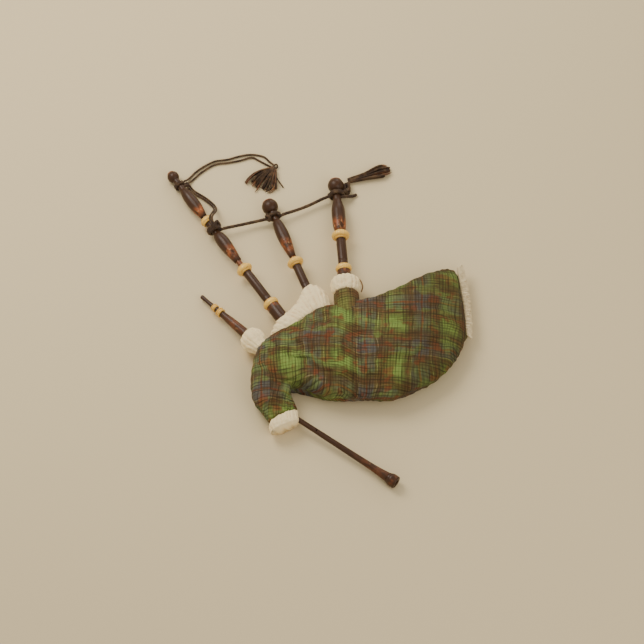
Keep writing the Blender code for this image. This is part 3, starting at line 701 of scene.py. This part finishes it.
def make_drones():
    make_stock("bass", 19.5, -8, -150, 11.5, -98, spigot=17)
    make_stock_mount("bass", 13.5)
    make_lower("bass", 13, 11, 3, 126, 150, 8, 226, 24)
    outer = [(7.5, 398, 1), (7.5, 343.5), (11.5, 343.2), (11.5, 324.5), (11, 324.2), (11, 281, 4)]
    outer += [*soft([(14.5, 276), (18, 262), (18.8, 246), (17.5, 222), (14, 196)]), (10.8, 172, 0.8)]
    profile = [*outer, (8.5, 172), (8.5, 240), (AIR, 242), (AIR, 398)]
    finish = wood("bass_middle_wood", 205, 30, 1.0)
    turned_piece("bass_middle", "bass", profile, finish, "bass_middle", steps=96)
    make_mount("bass_middle_mount", "bass", "bass_middle", 325, 343, 19.5, 11.8)
    outline = [(9.5, 499.6), (9.5, 461), (12.5, 455), (16.5, 438), (18.2, 412), (17, 390), (13.5, 368), (9.6, 352)]
    make_top("bass", 17, 514, 527, 9.6, outline, 8, 410, 372, 22)

    make_stock("inner_tenor", 19.5, -14, -140, 10.5, -86)
    make_lower("inner_tenor", 12.4, 10, -13.4, 77, 101, 7.5, 178, 24)
    outline = [(10, 272), (10, 242), (13, 236), (17, 216), (18.5, 190), (17.5, 165), (14, 140), (9.6, 110)]
    make_top("inner_tenor", 23.4, 293.4, 309, 10.1, outline, 8, 190, 146, 34)

    make_stock("outer_tenor", 19.5, -8, -165, 11.5, -114, spigot=17)
    make_stock_mount("outer_tenor", 14.5)
    make_lower("outer_tenor", 14, 11, 3, 100, 125.5, 8, 195, 26)
    outline = [(12, 265), (12, 232), (15.4, 219), (19.3, 204), (19.8, 180), (19.6, 156), (18, 139), (15, 126.5)]
    make_top("outer_tenor", 23, 285, 300.5, 12.1, outline, 8.5, 205, 146, 30)


def make_blowpipe():
    make_stock("blowpipe", 16.5, 15, -85, 10.2, -39)
    outer = [(8, 153, 0.8), (8, 144), (8.6, 143.5), (8.6, 130.4), (9.3, 130), (9.3, 128, 0.3)]
    outer += [(10.1, 127.4, 0.5), (10.1, 125.6, 0.5), (9.4, 125, 0.3), (12.4, 90, 30), (14.2, 45, 30), (14.5, 15.2)]
    outer += [(9.6, 15), (9.6, -60)]
    profile = [*outer, (4, -60), (4, 138), (5.5, 139), (5.5, 153)]
    finish = wood("blowpipe_wood", 70, 60, 0.35)
    turned_piece("blowpipe", "blowpipe", profile, finish, "blowpipe")
    make_mount("blowpipe_mount", "blowpipe", "blowpipe", 130.7, 143.3, 13, 8.9)
    shape = [(5, 217, 0.8), (6, 215, 0.8), (6.2, 208, 6), (5.2, 192, 12), (6.6, 168, 2), (6.6, 167), (6, 166.8)]
    profile = [*shape, (6, 154.2), (5, 154), (5, 141), (2.6, 141), (2.6, 217, 0.6)]
    turned_piece("mouthpiece", "blowpipe", profile, wood("mouthpiece_wood"), "mouthpiece", steps=48)
    make_mount("mouthpiece_mount", "blowpipe", "mouthpiece", 154.2, 166.5, 11.5, 6.3)


def drilled(mesh, holes):
    """The mesh with round holes cut into it. Each hole is (radius, height, direction across Z, reach)."""
    bm = bmesh.new()
    for radius, height, across, reach in holes:
        turn = Vector(across).to_track_quat("Z", "Y").to_matrix().to_4x4()
        matrix = Matrix.Translation((0, 0, height * MM)) @ turn @ Matrix.Translation((0, 0, reach / 2 * MM))
        bmesh.ops.create_cone(
            bm, cap_ends=True, segments=28, radius1=radius * MM, radius2=radius * MM, depth=reach * MM, matrix=matrix
        )
    cutter_mesh = bpy.data.meshes.new("drill")
    bm.to_mesh(cutter_mesh)
    bm.free()
    cutter, obj = bpy.data.objects.new("drill", cutter_mesh), bpy.data.objects.new("drilled", mesh)
    for item in (cutter, obj):
        bpy.context.collection.objects.link(item)
    boolean = obj.modifiers.new("holes", "BOOLEAN")
    boolean.operation, boolean.object = "DIFFERENCE", cutter
    result = bpy.data.meshes.new_from_object(obj.evaluated_get(bpy.context.evaluated_depsgraph_get()))
    bpy.data.objects.remove(obj)
    bpy.data.objects.remove(cutter)
    return result


def make_chanter():
    make_stock("chanter", 17, -40, -95, 8.9, -72)
    outer = [(12.6, 326.5, 0.8), (12.6, 297.4), (14.2, 297, 1), (12.2, 276, 24), (10.3, 250, 24), (9.3, 200, 30)]
    outer += [(8.2, 100, 30), (7.4, 0, 20), (7.4, -39.8), (8.4, -40), (8.4, -78, 0.8)]
    inner = [(2.2, -78), (2.6, 60, 20), (4.2, 200, 20), (5.6, 300, 3), (MOUTH, 312, 3), (MOUTH, 326.5)]
    mesh = turned_mesh("chanter_turned", [*outer, *inner], 64)
    holes = [(2.4, 66 + 26 * i, (0, -1, 0), 30) for i in range(7)]
    holes += [(2.4, 52, (0, 1, 0), 30), (2.4, 262, (1, 0, 0), 30), (2.4, 262, (-1, 0, 0), 30)]
    mesh = drilled(mesh, holes)
    mesh.materials.clear()
    finish = wood("chanter_wood", 250, 90, 0.25)
    add("chanter_turned", mesh, finish, "chanter", ["chanter"], pipe_matrix("chanter"), 32)
    sole = [(12.9, 327.7), (16.4, 327.7, 1.2), (18.2, 326.6, 1), (19, 324.4, 1.5), (19, 309, 2.5), (17.4, 305.4, 1.5)]
    sole += [(17.6, 303.6, 0.6), (16, 302, 1), (15.2, 297.8, 0.8), (12.9, 297.8)]
    finish = wood("chanter_sole_wood", 316, 10, 0.3)
    turned_piece("chanter_sole", "chanter", sole, finish, "chanter")


# --- cloth -----------------------------------------------------------------------------------------------------------


def add_wool(node, mesh, matrix=None):
    """The gathered white piece that stands for a node."""
    piece = add(f"{node}_gathered", mesh, white_wool(f"{node}_wool"), "bag", [node], matrix, 180)


def make_ruff(name, pipe, outline, hole, count, seed):
    """White wool gathered round a stock."""
    steps = 220
    outline = [p[:2] for p in rounded([(r, h, 12) for r, h in outline])]
    profile = resampled(outline, 2)
    profile = np.vstack([profile, [[hole, profile[-1][1] + 1], [hole, profile[0][1] - 1]]])
    mesh = grid_mesh(f"{name}_gathered", turned_rows(profile, steps), wrap_rows=True)
    share = np.clip((profile[:, 0] - hole) / (profile[:, 0].max() - hole), 0, 1) ** 0.5
    share[-2:] = 0
    wool(mesh, gathers(count, steps, seed, share).ravel(), 2.2, seed)
    add_wool(name, mesh, pipe_matrix(pipe))


def loft_rows(sections, per_span, around):
    """Rings through sections of (side, other side, height, half height)."""
    rows, middles = [], []
    for ax, ay, bx, by, z, rise, drop in resampled([(*a, *b, *rest) for a, b, *rest in sections], per_span):
        one, other = np.array([ax, ay]), np.array([bx, by])
        upper, _ = half_ring(one, other, z, rise, around // 2)
        lower, _ = half_ring(one, other, z, -drop, around // 2)
        rows.append(np.vstack([upper[:-1], lower[::-1][:-1]]))
        middles.append((*(one + other) / 2, z))
    return np.array(rows), np.array(middles)


def tucked(a, b, by):
    """The edge b of a piece that starts at a, moved further from it by a distance, into the bag."""
    return tuple(b + unit(np.subtract(b, a)) * by)


def make_trims():
    """The white trim round two stocks, and the band at the neck's opening."""
    tuck, pleat, around = 25, 15, 96
    sections = [(a, tucked(a, b, tuck), TRIM_HEIGHT, half, half) for a, b, half in FRONT_TRIM]
    rows, middles = loft_rows(sections, 16, around)
    mesh = grid_mesh("front_trim_gathered", rows)
    run = distances(middles)
    crown = (0.5 + 0.5 * np.cos(tau * run / pleat + 1.5 * np.sin(run / 17) + np.sin(run / 7))) ** 0.6
    wool(mesh, np.repeat(crown, around), 1.7, 3)
    add_wool("front_trim", mesh)

    around = 220
    rows, _ = loft_rows([(a, b, z, half, half) for a, b, z, half in NECK_BAND], 14, around)
    mesh = grid_mesh("neck_band_gathered", rows)
    rib = np.minimum(1, np.minimum(np.arange(len(rows)), np.arange(len(rows))[::-1]) / 4)
    wool(mesh, gathers(22, around, 2.1, 0.4 + 0.6 * rib).ravel(), 2.0, 8)
    keep_above_rest(mesh)
    add_wool("neck_band", mesh)


def make_back_fringe(draw):
    """Wool strands that hang side by side from the back seam, in three layers."""
    sections = resampled([(*a, *b, z, half) for a, b, z, half in BACK_FRINGE], 24)
    paths = []
    for lift in (-0.45, 0.0, 0.45):
        for ax, ay, bx, by, z, half in sections:
            near, far = np.array([ax - 3, ay, z * 0.96]), np.array([bx, by, z])
            side = np.array([near[1] - far[1], far[0] - near[0], 0]) * 0.03
            reach = draw.uniform(0.74, 1.0)
            bow = half * (0.35 + 0.5 * draw.random()) * (1 if lift >= 0 else -1)
            drift = side * draw.uniform(-3.5, 3.5)
            path = []
            for t in (0, 0.2, 0.45, 0.7, 0.88, 1):
                point = near + (far - near) * t * reach + drift * t**2
                point[2] += lift * half + bow * sin(pi * t) - 3 * t**2 * (lift < 0)
                path.append(point)
            paths.append(path)
    mesh = strands_mesh("back_fringe_strands", paths, 1.0)
    # The crowns are low at both ends of each strand, where the wool material paints shade.
    crowns = np.tile(np.repeat([0.1, 0.4, 0.8, 0.9, 0.7, 0.1], STRAND_SIDES), len(paths))
    mesh.attributes.new("crown", "FLOAT", "POINT").data.foreach_set("value", crowns)
    finish = white_wool("back_fringe_wool", (0.84, 0.70, 0.44), (0.40, 0.26, 0.12))
    add("back_fringe_strands", mesh, finish, "bag", ["back_fringe"], sharp=180)


def strands_mesh(name, paths, radius):
    """Thin closed tubes along paths of equal length, in millimetres, in one mesh."""
    paths = np.asarray(paths, float)
    along = unit(np.gradient(paths, axis=1))
    up = unit(np.cross(along, [0.31, 0.22, 0.92]))
    other = np.cross(along, up)
    angles = circle(STRAND_SIDES)
    size = np.full(paths.shape[1], float(radius))
    size[-1] *= 0.55
    rings = paths[:, :, None, :] + size[None, :, None, None] * (
        np.cos(angles)[None, None, :, None] * up[:, :, None, :]
        + np.sin(angles)[None, None, :, None] * other[:, :, None, :]
    )
    index = np.arange(rings.size // 3).reshape(rings.shape[:3])
    near, far = index[:, :-1], index[:, 1:]
    quads = np.stack([near, np.roll(near, -1, 2), np.roll(far, -1, 2), far], axis=-1).reshape(-1, 4)
    return closed_mesh(name, rings, quads.tolist() + index[:, 0, ::-1].tolist() + index[:, -1].tolist())


def cover_rings(around):
    """Rings of the cover, with where each point lies on the flat cloth of the upper and the lower panel."""
    rings, upper_cloth, lower_cloth = [], [], []
    for ax, ay, bx, by, z, rise, drop in resampled([(*a, *b, *rest) for a, b, *rest in BAG], 8):
        one, other = np.array([ax, ay]), np.array([bx, by])
        across = (one - other) / np.linalg.norm(one - other)
        flats = []
        for lift in (rise, -drop):
            points, length = half_ring(one, other, z, lift, around // 2)
            from_middle = length / 2 - np.linspace(0, length, around // 2 + 1)
            flats.append((points, (one + other) / 2 + np.outer(from_middle, across)))
        (upper, upper_flat), (lower, lower_flat) = flats
        rings.append(np.vstack([upper[:-1], lower[::-1][:-1]]))
        upper_cloth.append(upper_flat)
        lower_cloth.append(lower_flat[::-1])
    return np.array(rings), np.array(upper_cloth), np.array(lower_cloth)


def store_cloth(mesh, around, upper, lower):
    """Stores the flat cloth's coordinates, in metres, on each corner of each face."""
    half = around // 2
    values = np.zeros((len(mesh.loops), 3))
    for face in mesh.polygons:
        columns = [mesh.loops[k].vertex_index % around for k in face.loop_indices]
        under = max(columns) > half or (0 in columns and max(columns) >= half and max(columns) - min(columns) > 1)
        for k in face.loop_indices:
            row, column = divmod(mesh.loops[k].vertex_index, around)
            if under:
                values[k, :2] = lower[row, max(0, (column or around) - half)] + LOWER_PANEL_SHIFT
            else:
                values[k, :2] = upper[row, min(column, half)] + UPPER_PANEL_SHIFT
    mesh.attributes.new("cloth", "FLOAT_VECTOR", "CORNER").data.foreach_set("vector", (values * MM).ravel())


def settled(obj, held, cap):
    """Blows the cloth out with Blender's Cloth, then moves each vertex there, by at most cap millimetres."""
    scene, frames, inward = bpy.context.scene, 20, 0.5
    group = obj.vertex_groups.new(name="held")
    for index, weight in enumerate(held):
        group.add([index], float(weight), "REPLACE")
    modifier = obj.modifiers.new("cloth", "CLOTH")
    settings = modifier.settings
    settings.quality = 5
    settings.mass = 0.25
    settings.tension_stiffness = settings.compression_stiffness = 14
    settings.shear_stiffness = 8
    settings.bending_stiffness = 0.35
    settings.vertex_group_mass = "held"
    settings.use_pressure = True
    settings.uniform_pressure_force = 4
    settings.shrink_min = -0.05
    settings.effector_weights.gravity = 0
    for number in range(1, frames + 1):
        scene.frame_set(number)
    end = vertex_values(obj.evaluated_get(bpy.context.evaluated_depsgraph_get()).to_mesh())
    obj.modifiers.remove(modifier)
    obj.vertex_groups.remove(group)
    scene.frame_set(1)
    start, normals = vertex_values(obj.data), vertex_values(obj.data, normals=True)
    move = end - start
    outward = np.sum(move * normals, axis=1, keepdims=True)
    move += np.maximum(0, -inward * MM - outward) * normals
    length = np.linalg.norm(move, axis=1, keepdims=True)
    move *= np.minimum(1, cap * MM / np.maximum(length, 1e-9))
    obj.data.vertices.foreach_set("co", (start + move).ravel())
    obj.data.update()


def distance_to_pipe(points, pipe, low, high):
    """How far points, in millimetres, lie from a stretch of a pipe's axis, and the angle round it."""
    matrix = np.array(pipe_matrix(pipe).inverted())
    local = (points * MM) @ matrix[:3, :3].T + matrix[:3, 3]
    local /= MM
    past = local[:, 2] - np.clip(local[:, 2], low, high)
    away = np.sqrt(local[:, 0] ** 2 + local[:, 1] ** 2 + past**2)
    return away, np.arctan2(local[:, 1], local[:, 0])


def make_cover():
    """The tartan cover, blown out by simulation and then creased where the stocks and the seam gather it."""
    around, cap, grip, grip_fade = 144, 9, 52, 24
    rings, upper, lower = cover_rings(around)
    mesh = grid_mesh("bag_cover_cloth", rings)
    store_cloth(mesh, around, upper, lower)
    cover = add("bag_cover_cloth", mesh, tartan("bag_cover_tartan"), "bag", ["bag_cover"], sharp=180)
    points = rings.reshape(-1, 3)
    held = np.zeros(len(points))
    mouths = (("bass", -150, -60), ("inner_tenor", -140, -50), ("outer_tenor", -165, -90), ("blowpipe", -85, -30))
    for pipe, low, high in mouths:
        away, _ = distance_to_pipe(points, pipe, low, high)
        held = np.maximum(held, np.clip((grip - away) / grip_fade, 0, 1))
    held[: 3 * around] = 1
    held = np.maximum(held, (points[:, 2] < 0.5) * 0.9)
    settled(cover, held, cap)

    points = vertex_values(mesh) / MM
    folds = np.zeros(len(points))
    for number, (pipe, low, high) in enumerate(mouths):
        away, angle = distance_to_pipe(points, pipe, low, high)
        fade = np.clip((away - 16) / 14, 0, 1) * np.clip((105 - away) / 85, 0, 1) ** 1.5
        folds += 3.2 * fade * np.sin(9 * angle + 0.03 * away + 1.7 * number)
    row, column = np.divmod(np.arange(len(points)), around)
    turn = tau * column / around
    neck = np.clip((26 - row) / 26, 0, 1)
    folds += 2.2 * neck * np.sin(13 * turn + 0.35 * row + 0.8 * np.sin(3 * turn))
    folds += 3.0 * lumps(points, 62, 4) + 1.1 * lumps(points, 24, 9)
    seam = np.minimum(np.abs(column - around // 2), np.minimum(column, around - column))
    folds -= 1.6 * np.exp(-((seam / 1.3) ** 2)) * (row > 3)
    puckers = np.sin(row * 1.15 + 1.5 * np.sin(row * 0.23)) * (row > 12)
    folds += 1.3 * np.exp(-((seam / 7) ** 2)) * puckers
    folds = np.maximum(folds * np.clip(points[:, 2] / 14, 0.0, 1), -3)
    displaced(mesh, folds, np.zeros(len(points)))
    keep_above_rest(mesh)
    smooth = cover.modifiers.new("smooth", "SUBSURF")
    smooth.levels = smooth.render_levels = 1


def make_sleeve():
    """The cover's own sleeve round the outer tenor stock, gathered into its mouth."""
    steps = 180
    profile = [(20.1, -85), (30, -84.4), (34, -86), (35.6, -91), (36, -104), (35.6, -125), (35, -150), (33, -162)]
    profile += [(20.1, -163)]
    rows_at = resampled(profile, 5)
    mesh = grid_mesh("outer_tenor_sleeve_cloth", turned_rows(rows_at, steps), wrap_rows=True)
    share = np.clip((rows_at[:, 0] - 24) / 12, 0, 1)
    crowns = gathers(11, steps, 4.4, share).ravel()
    run = distances(rows_at)
    girth, corner = tau * 0.0355, (0.21, 0.255)
    flat = np.zeros((len(mesh.loops), 3))
    for face in mesh.polygons:
        wraps = {mesh.loops[k].vertex_index % steps for k in face.loop_indices} >= {0, steps - 1}
        for k in face.loop_indices:
            row, column = divmod(mesh.loops[k].vertex_index, steps)
            turn = (steps if wraps and column == 0 else column) / steps
            flat[k, :2] = corner[0] + girth * turn, corner[1] - run[row] * MM
    mesh.attributes.new("cloth", "FLOAT_VECTOR", "CORNER").data.foreach_set("vector", flat.ravel())
    displaced(mesh, 2.4 * (crowns - 0.8), crowns)
    finish = tartan("outer_tenor_sleeve_tartan", 0.3)
    sleeve = add(
        "outer_tenor_sleeve_cloth", mesh, finish, "bag", ["outer_tenor_sleeve"],
        pipe_matrix("outer_tenor"), 180,
    )


# --- cords -----------------------------------------------------------------------------------------------------------


def evenly(points, step):
    """Points along the same line, a step apart, and the line's length."""
    points = np.asarray(points, float)
    run = distances(points)
    even = np.linspace(0, run[-1], max(4, round(run[-1] / step)) + 1)
    return np.column_stack([np.interp(even, run, points[:, k]) for k in range(3)]), run[-1]


def rope_mesh(name, line, diameter, sides=18, turn=0.0):
    """Three twisted strands along a line in millimetres, closed by rounded ends."""
    pitch = 3.1 * diameter
    line, length = evenly(line, diameter / 5)
    along = unit(np.gradient(line, axis=0))
    normal = np.cross(along[0], [0.2, 0.1, 0.97])
    rings = []
    angles = circle(sides)
    for i, (point, way) in enumerate(zip(line, along)):
        normal = unit(normal - way * normal.dot(way))
        other = np.cross(way, normal)
        at = length * i / (len(line) - 1)
        twist = turn + tau * at / pitch
        lobes = 0.8 + 0.2 * np.abs(np.cos(1.5 * (angles - twist))) ** 0.7
        end = min(at, length - at) / (0.5 * diameter)
        size = diameter / 2 * (1 if end >= 1 else sqrt(max(0.03, 1 - (1 - end) ** 2)))
        spread = size * lobes[:, None]
        rings.append(point + spread * (np.cos(angles)[:, None] * normal + np.sin(angles)[:, None] * other))
    return grid_mesh(name, rings), line, length


def free_cord(name, line, diameter, node, turn=0.0):
    """A free cord along a line."""
    mesh, path, length = rope_mesh(name, line, diameter, turn=turn)
    piece = add(name, mesh, cord_cloth(f"{name}_fibre"), "bag", [node], sharp=180)


def tied_cord(name, line, diameter, finish, nodes=(), sides=18):
    """A length of cord that isn't free: a knot, a binding, or part of a wrap."""
    mesh, _, _ = rope_mesh(name, line, diameter, sides)
    return add(name, mesh, finish, "bag", nodes, sharp=180)


def on_pipe(pipe, radius, angle, height):
    """A point beside a pipe, in millimetres in the model's frame."""
    return pipe_matrix(pipe) @ (Vector((radius * cos(angle), radius * sin(angle), height)) * MM) / MM


def coil(pipe, radius, low, high, turns, start):
    """A line of turns round a pipe, between two heights."""
    line, steps = [], 40
    for i in range(int(steps * turns) + 1):
        height = low + (high - low) * i / (steps * turns)
        line.append(on_pipe(pipe, radius, start + tau * i / steps, height))
    return line


def make_wrap(node, pipe, neck, low, high, diameter, turns, start, knot_size):
    """Turns of cord round a drone's neck, with the knot that holds them."""
    radius, fibre = neck + 0.6 + diameter / 2, cord_cloth(f"{node}_fibre")
    tied_cord(f"{node}_turns", coil(pipe, radius, low, high, turns, start), diameter, fibre, [node])
    middle, angle = (low + high) / 2, start + tau * turns * 0.5
    line = []
    for t in np.linspace(0, 1, 26):
        swing = tau * 1.25 * t
        out = radius + diameter * 0.45 + knot_size * 0.3 * cos(swing)
        side = angle + (knot_size * 0.62 * sin(swing)) / radius
        height = middle + (high - low + diameter) * 0.42 * cos(swing * 0.8 + 0.6)
        line.append(on_pipe(pipe, out, side, height))
    knot = tied_cord(f"{node}_knot", line, diameter * 0.9, fibre)
    keep_above_rest(knot.data)


def tassel_mesh(name, sections, count, clumps, draw):
    """Threads that fan out from a knot in clumps of uneven length, with ragged ends."""
    table = resampled([(*a, *b, z, half) for a, b, z, half in sections], 3)
    habits = [(draw.uniform(0.66, 1.04), draw.uniform(-1, 1), draw.uniform(0.5, 0.95)) for _ in range(clumps)]
    paths = []
    for _ in range(count):
        across = draw.random()
        number = min(clumps - 1, int(across * clumps))
        home, (longest, swing, gather) = (number + 0.5) / clumps, habits[number]
        layer, reach = draw.uniform(-1, 1), longest * (1 - 0.16 * draw.random() ** 2)
        sway, phase = draw.uniform(-1, 1), draw.uniform(0, tau)
        path = []
        for i in range(len(table)):
            t = i / (len(table) - 1) * reach
            at = t * (len(table) - 1)
            low = min(int(at), len(table) - 2)
            ax, ay, bx, by, z, half = table[low] + (table[low + 1] - table[low]) * (at - low)
            closing = gather * min(1, 1.5 * t) * (1.3 - 0.6 * t)
            share = 0.03 + 0.94 * (across + (home - across) * closing + 0.09 * swing * t**2)
            point = np.array([ax + (bx - ax) * share, ay + (by - ay) * share, z + layer * half * 0.82])
            point[:2] += sway * 2.8 * t * np.array([sin(phase + 5 * t), cos(phase + 4 * t)])
            point[2] = max(1.2, point[2])
            path.append(point)
        paths.append(path)
    return strands_mesh(name, paths, THREAD)


def make_tassels(draw):
    """The threads, bindings and tail of both tassels, with the knot over the west one."""
    fibre = cord_cloth("tassel_fibre")
    lit = cord_cloth("tassel_fibre_lit", (0.14, 0.06, 0.03), THREAD_LIT)
    line = [
        Vector((-127.5, 534.5, 7)) + Vector((6 * cos(a), 6 * sin(a), 2.2 * sin(2 * a)))
        for a in np.linspace(0, tau * 1.7, 40)
    ]
    knot = tied_cord("west_tassel_knot_tied", line, 5, fibre, ["west_tassel_knot"])
    bindings = []
    for node, sections, count, clumps in (("west_tassel", WEST_TASSEL, 300, 8), ("east_tassel", EAST_TASSEL, 230, 4)):
        for kind, share, finish, nodes in (("threads", 1, fibre, [node]), ("lit_threads", 5, lit, ())):
            mesh = tassel_mesh(f"{node}_{kind}", sections, count // share, clumps, draw)
            add(f"{node}_{kind}", mesh, finish, "bag", nodes, sharp=180)
        a, b, z, half = sections[0]
        tight, wide = np.array([*a, z]), np.array([*b, z])
        way = unit(np.array([*sections[1][0], z]) + np.array([*sections[1][1], z]) - tight - wide)
        across, size = unit(tight - wide), np.linalg.norm(tight - wide) / 2 + 0.4
        line = [
            (tight + wide) / 2 + way * (1 + 7 * i / 160) + size * cos(i * pi / 20) * across
            + np.array([0, 0, (half + 0.4) * sin(i * pi / 20)])
            for i in range(161)
        ]
        bindings.append(tied_cord(f"{node}_binding", line, 1.9, fibre))
    route = ((-131, 508, 12), (-122, 492, 9), (-112, 478, 5), (-104, 466, 3))
    tied_cord("west_tassel_tail", resampled(route, 6), 4, fibre)
    return knot, *bindings


def make_bow(finish):
    """The loops of cord tied beside the outer tenor's bell, from which the east tassel hangs."""
    line = []
    for a in np.linspace(0, tau * 2.2, 90):
        across = 8.5 * cos(a) + 2.5 * sin(2.3 * a)
        line.append(Vector((75, 458, 13)) + Vector((across, 15 * sin(1.5 * a + 0.4), 5 * sin(2.5 * a))))
    tied_cord("east_tassel_bow", line, 8, finish)


def make_strands(node, route, diameter, offset, turns):
    """A doubled cord: two free strands twisted loosely round each other."""
    middle = resampled(route, 8)
    along = unit(np.gradient(middle, axis=0))
    side = unit(np.cross(along, [0, 0, 1]))
    up = np.cross(side, along)
    for number in range(2):
        angle = pi * number + tau * turns * np.linspace(0, 1, len(middle))[:, None]
        line = middle + offset * (np.cos(angle) * side + np.sin(angle) * up)
        line[:, 2] = np.maximum(line[:, 2], diameter / 2)
        free_cord(f"{node}_strand_{number + 1}", line, diameter, node, number)


def make_cords(draw):
    """Every cord, wrap, knot and tassel."""
    make_wrap("bass_middle_cord_wrap", "bass", 11, 293, 308, CORD, 2.6, 0.4, 13)
    make_wrap("bass_top_cord_wrap", "bass", 9.5, 475.8, 485.8, STRAND, 2.8, 2.6, 8)
    make_wrap("inner_tenor_cord_wrap", "inner_tenor", 10, 254.5, 262, CORD, 1.4, 2.0, 11)
    make_wrap("outer_tenor_cord_wrap", "outer_tenor", 12, 251.5, 260, CORD, 2.1, 5.2, 12)
    knot, west_binding, east_binding = make_tassels(draw)
    fibre = cord_cloth("drone_cord_tail_fibre")
    free_cord("drone_cord_west_rope", resampled(WEST_SPAN, 8), CORD, "drone_cord_west")
    tail = tied_cord("drone_cord_tail_rope", resampled(TAIL, 8), CORD, fibre, ["drone_cord_tail"])
    free_cord("drone_cord_east_rope", resampled(EAST_SPAN, 8), CORD, "drone_cord_east")
    make_strands("east_tassel_cord", TASSEL_STRING, 5.6, 2.9, 0.6)
    line, on_it = resampled(TASSEL_CORD_UPPER, 8), [knot, west_binding]
    free_cord("tassel_cord_upper_rope", line, STRAND, "tassel_cord_upper")
    line = resampled(TASSEL_CORD_LOWER, 8)
    free_cord("tassel_cord_lower_rope", line, STRAND, "tassel_cord_lower", turn=1.4)
    # Each free cord carries on a little from its ends, out of sight inside a wrap or a tassel.
    bridges = (
        ("west_start", (-297, 309, 29), WEST_SPAN, CORD),
        ("west_end", (-133, 353, 27), WEST_SPAN[::-1], CORD),
        ("east_start", (-124, 355, 27), EAST_SPAN, CORD),
        ("east_end", (41, 431, 27), EAST_SPAN[::-1], CORD),
        ("tail_start", (58, 421, 30), TAIL, CORD),
        ("string_start", (61, 431, 30), TASSEL_STRING, CORD),
        ("string_end", (88, 487, 8), TASSEL_STRING[::-1], 1.5 * STRAND),
        ("upper_start", (-396, 464, 24), TASSEL_CORD_UPPER, STRAND),
        ("lower_start", (-392, 458, 24), TASSEL_CORD_LOWER, STRAND),
        ("upper_end", (-128, 536, 6), TASSEL_CORD_UPPER[::-1], STRAND),
        ("lower_end", (-129, 532, 6), TASSEL_CORD_LOWER[::-1], STRAND),
        ("side_start", (-394, 458, 24), SIDE_CORD, 1.6 * STRAND),
        ("side_end", (-300, 306, 48), SIDE_CORD[::-1], 1.6 * STRAND),
    )
    for name, inside, (start, after, *_), diameter in bridges:
        beyond = [a + 0.25 * (b - a) for a, b in zip(start, after)]
        tied_cord(f"{name}_bridge", resampled([inside, start, beyond], 6), diameter * 0.98, fibre)
    make_bow(fibre)
    make_strands("bass_side_cord", SIDE_CORD, STRAND, 3.2, 0)


def make_ruff_tie():
    line = resampled(((113.5, 142, 50), (120, 135, 40), (123, 126, 30), (119, 115, 22)), 8)
    finish = cord_cloth("ruff_tie_fibre", (0.30, 0.17, 0.08), (0.46, 0.30, 0.15))
    tied_cord("outer_tenor_ruff_tie_ribbon", line, 4, finish, ["outer_tenor_ruff_tie"], 14)


def dress_kept_nodes():
    """The hidden pieces keep their plain shapes and get materials of their own kind."""
    finishes = {
        "hide": grained("hide_leather", (0.20, 0.12, 0.07), (0.36, 0.24, 0.15), (40, 40, 40), 0.65),
        "cane": grained("reed_cane", (0.48, 0.33, 0.13), (0.70, 0.54, 0.27), (120, 120, 9), 0.5),
        "waxed_thread": grained("binding_thread", (0.62, 0.48, 0.27), (0.82, 0.68, 0.44), (12, 12, 260), 0.6),
    }
    for part in frame["record"]["subparts"]:
        obj = frame["nodes"][part["node"]]
        if part["material_slot"] in finishes and not obj.hide_render:
            obj.data.materials.clear()
            obj.data.materials.append(finishes[part["material_slot"]])


def main():
    draw = random.Random(7)
    make_stage()
    make_cords(draw)
    make_drones()
    make_blowpipe()
    make_chanter()
    make_cover()
    make_sleeve()
    make_ruff("blowpipe_ruff", "blowpipe", BLOWPIPE_RUFF, 16.9, 15, 1.0)
    make_ruff("outer_tenor_ruff", "outer_tenor", OUTER_TENOR_RUFF, 19.9, 17, 6.0)
    make_trims()
    make_back_fringe(draw)
    make_ruff_tie()
    dress_kept_nodes()


main()
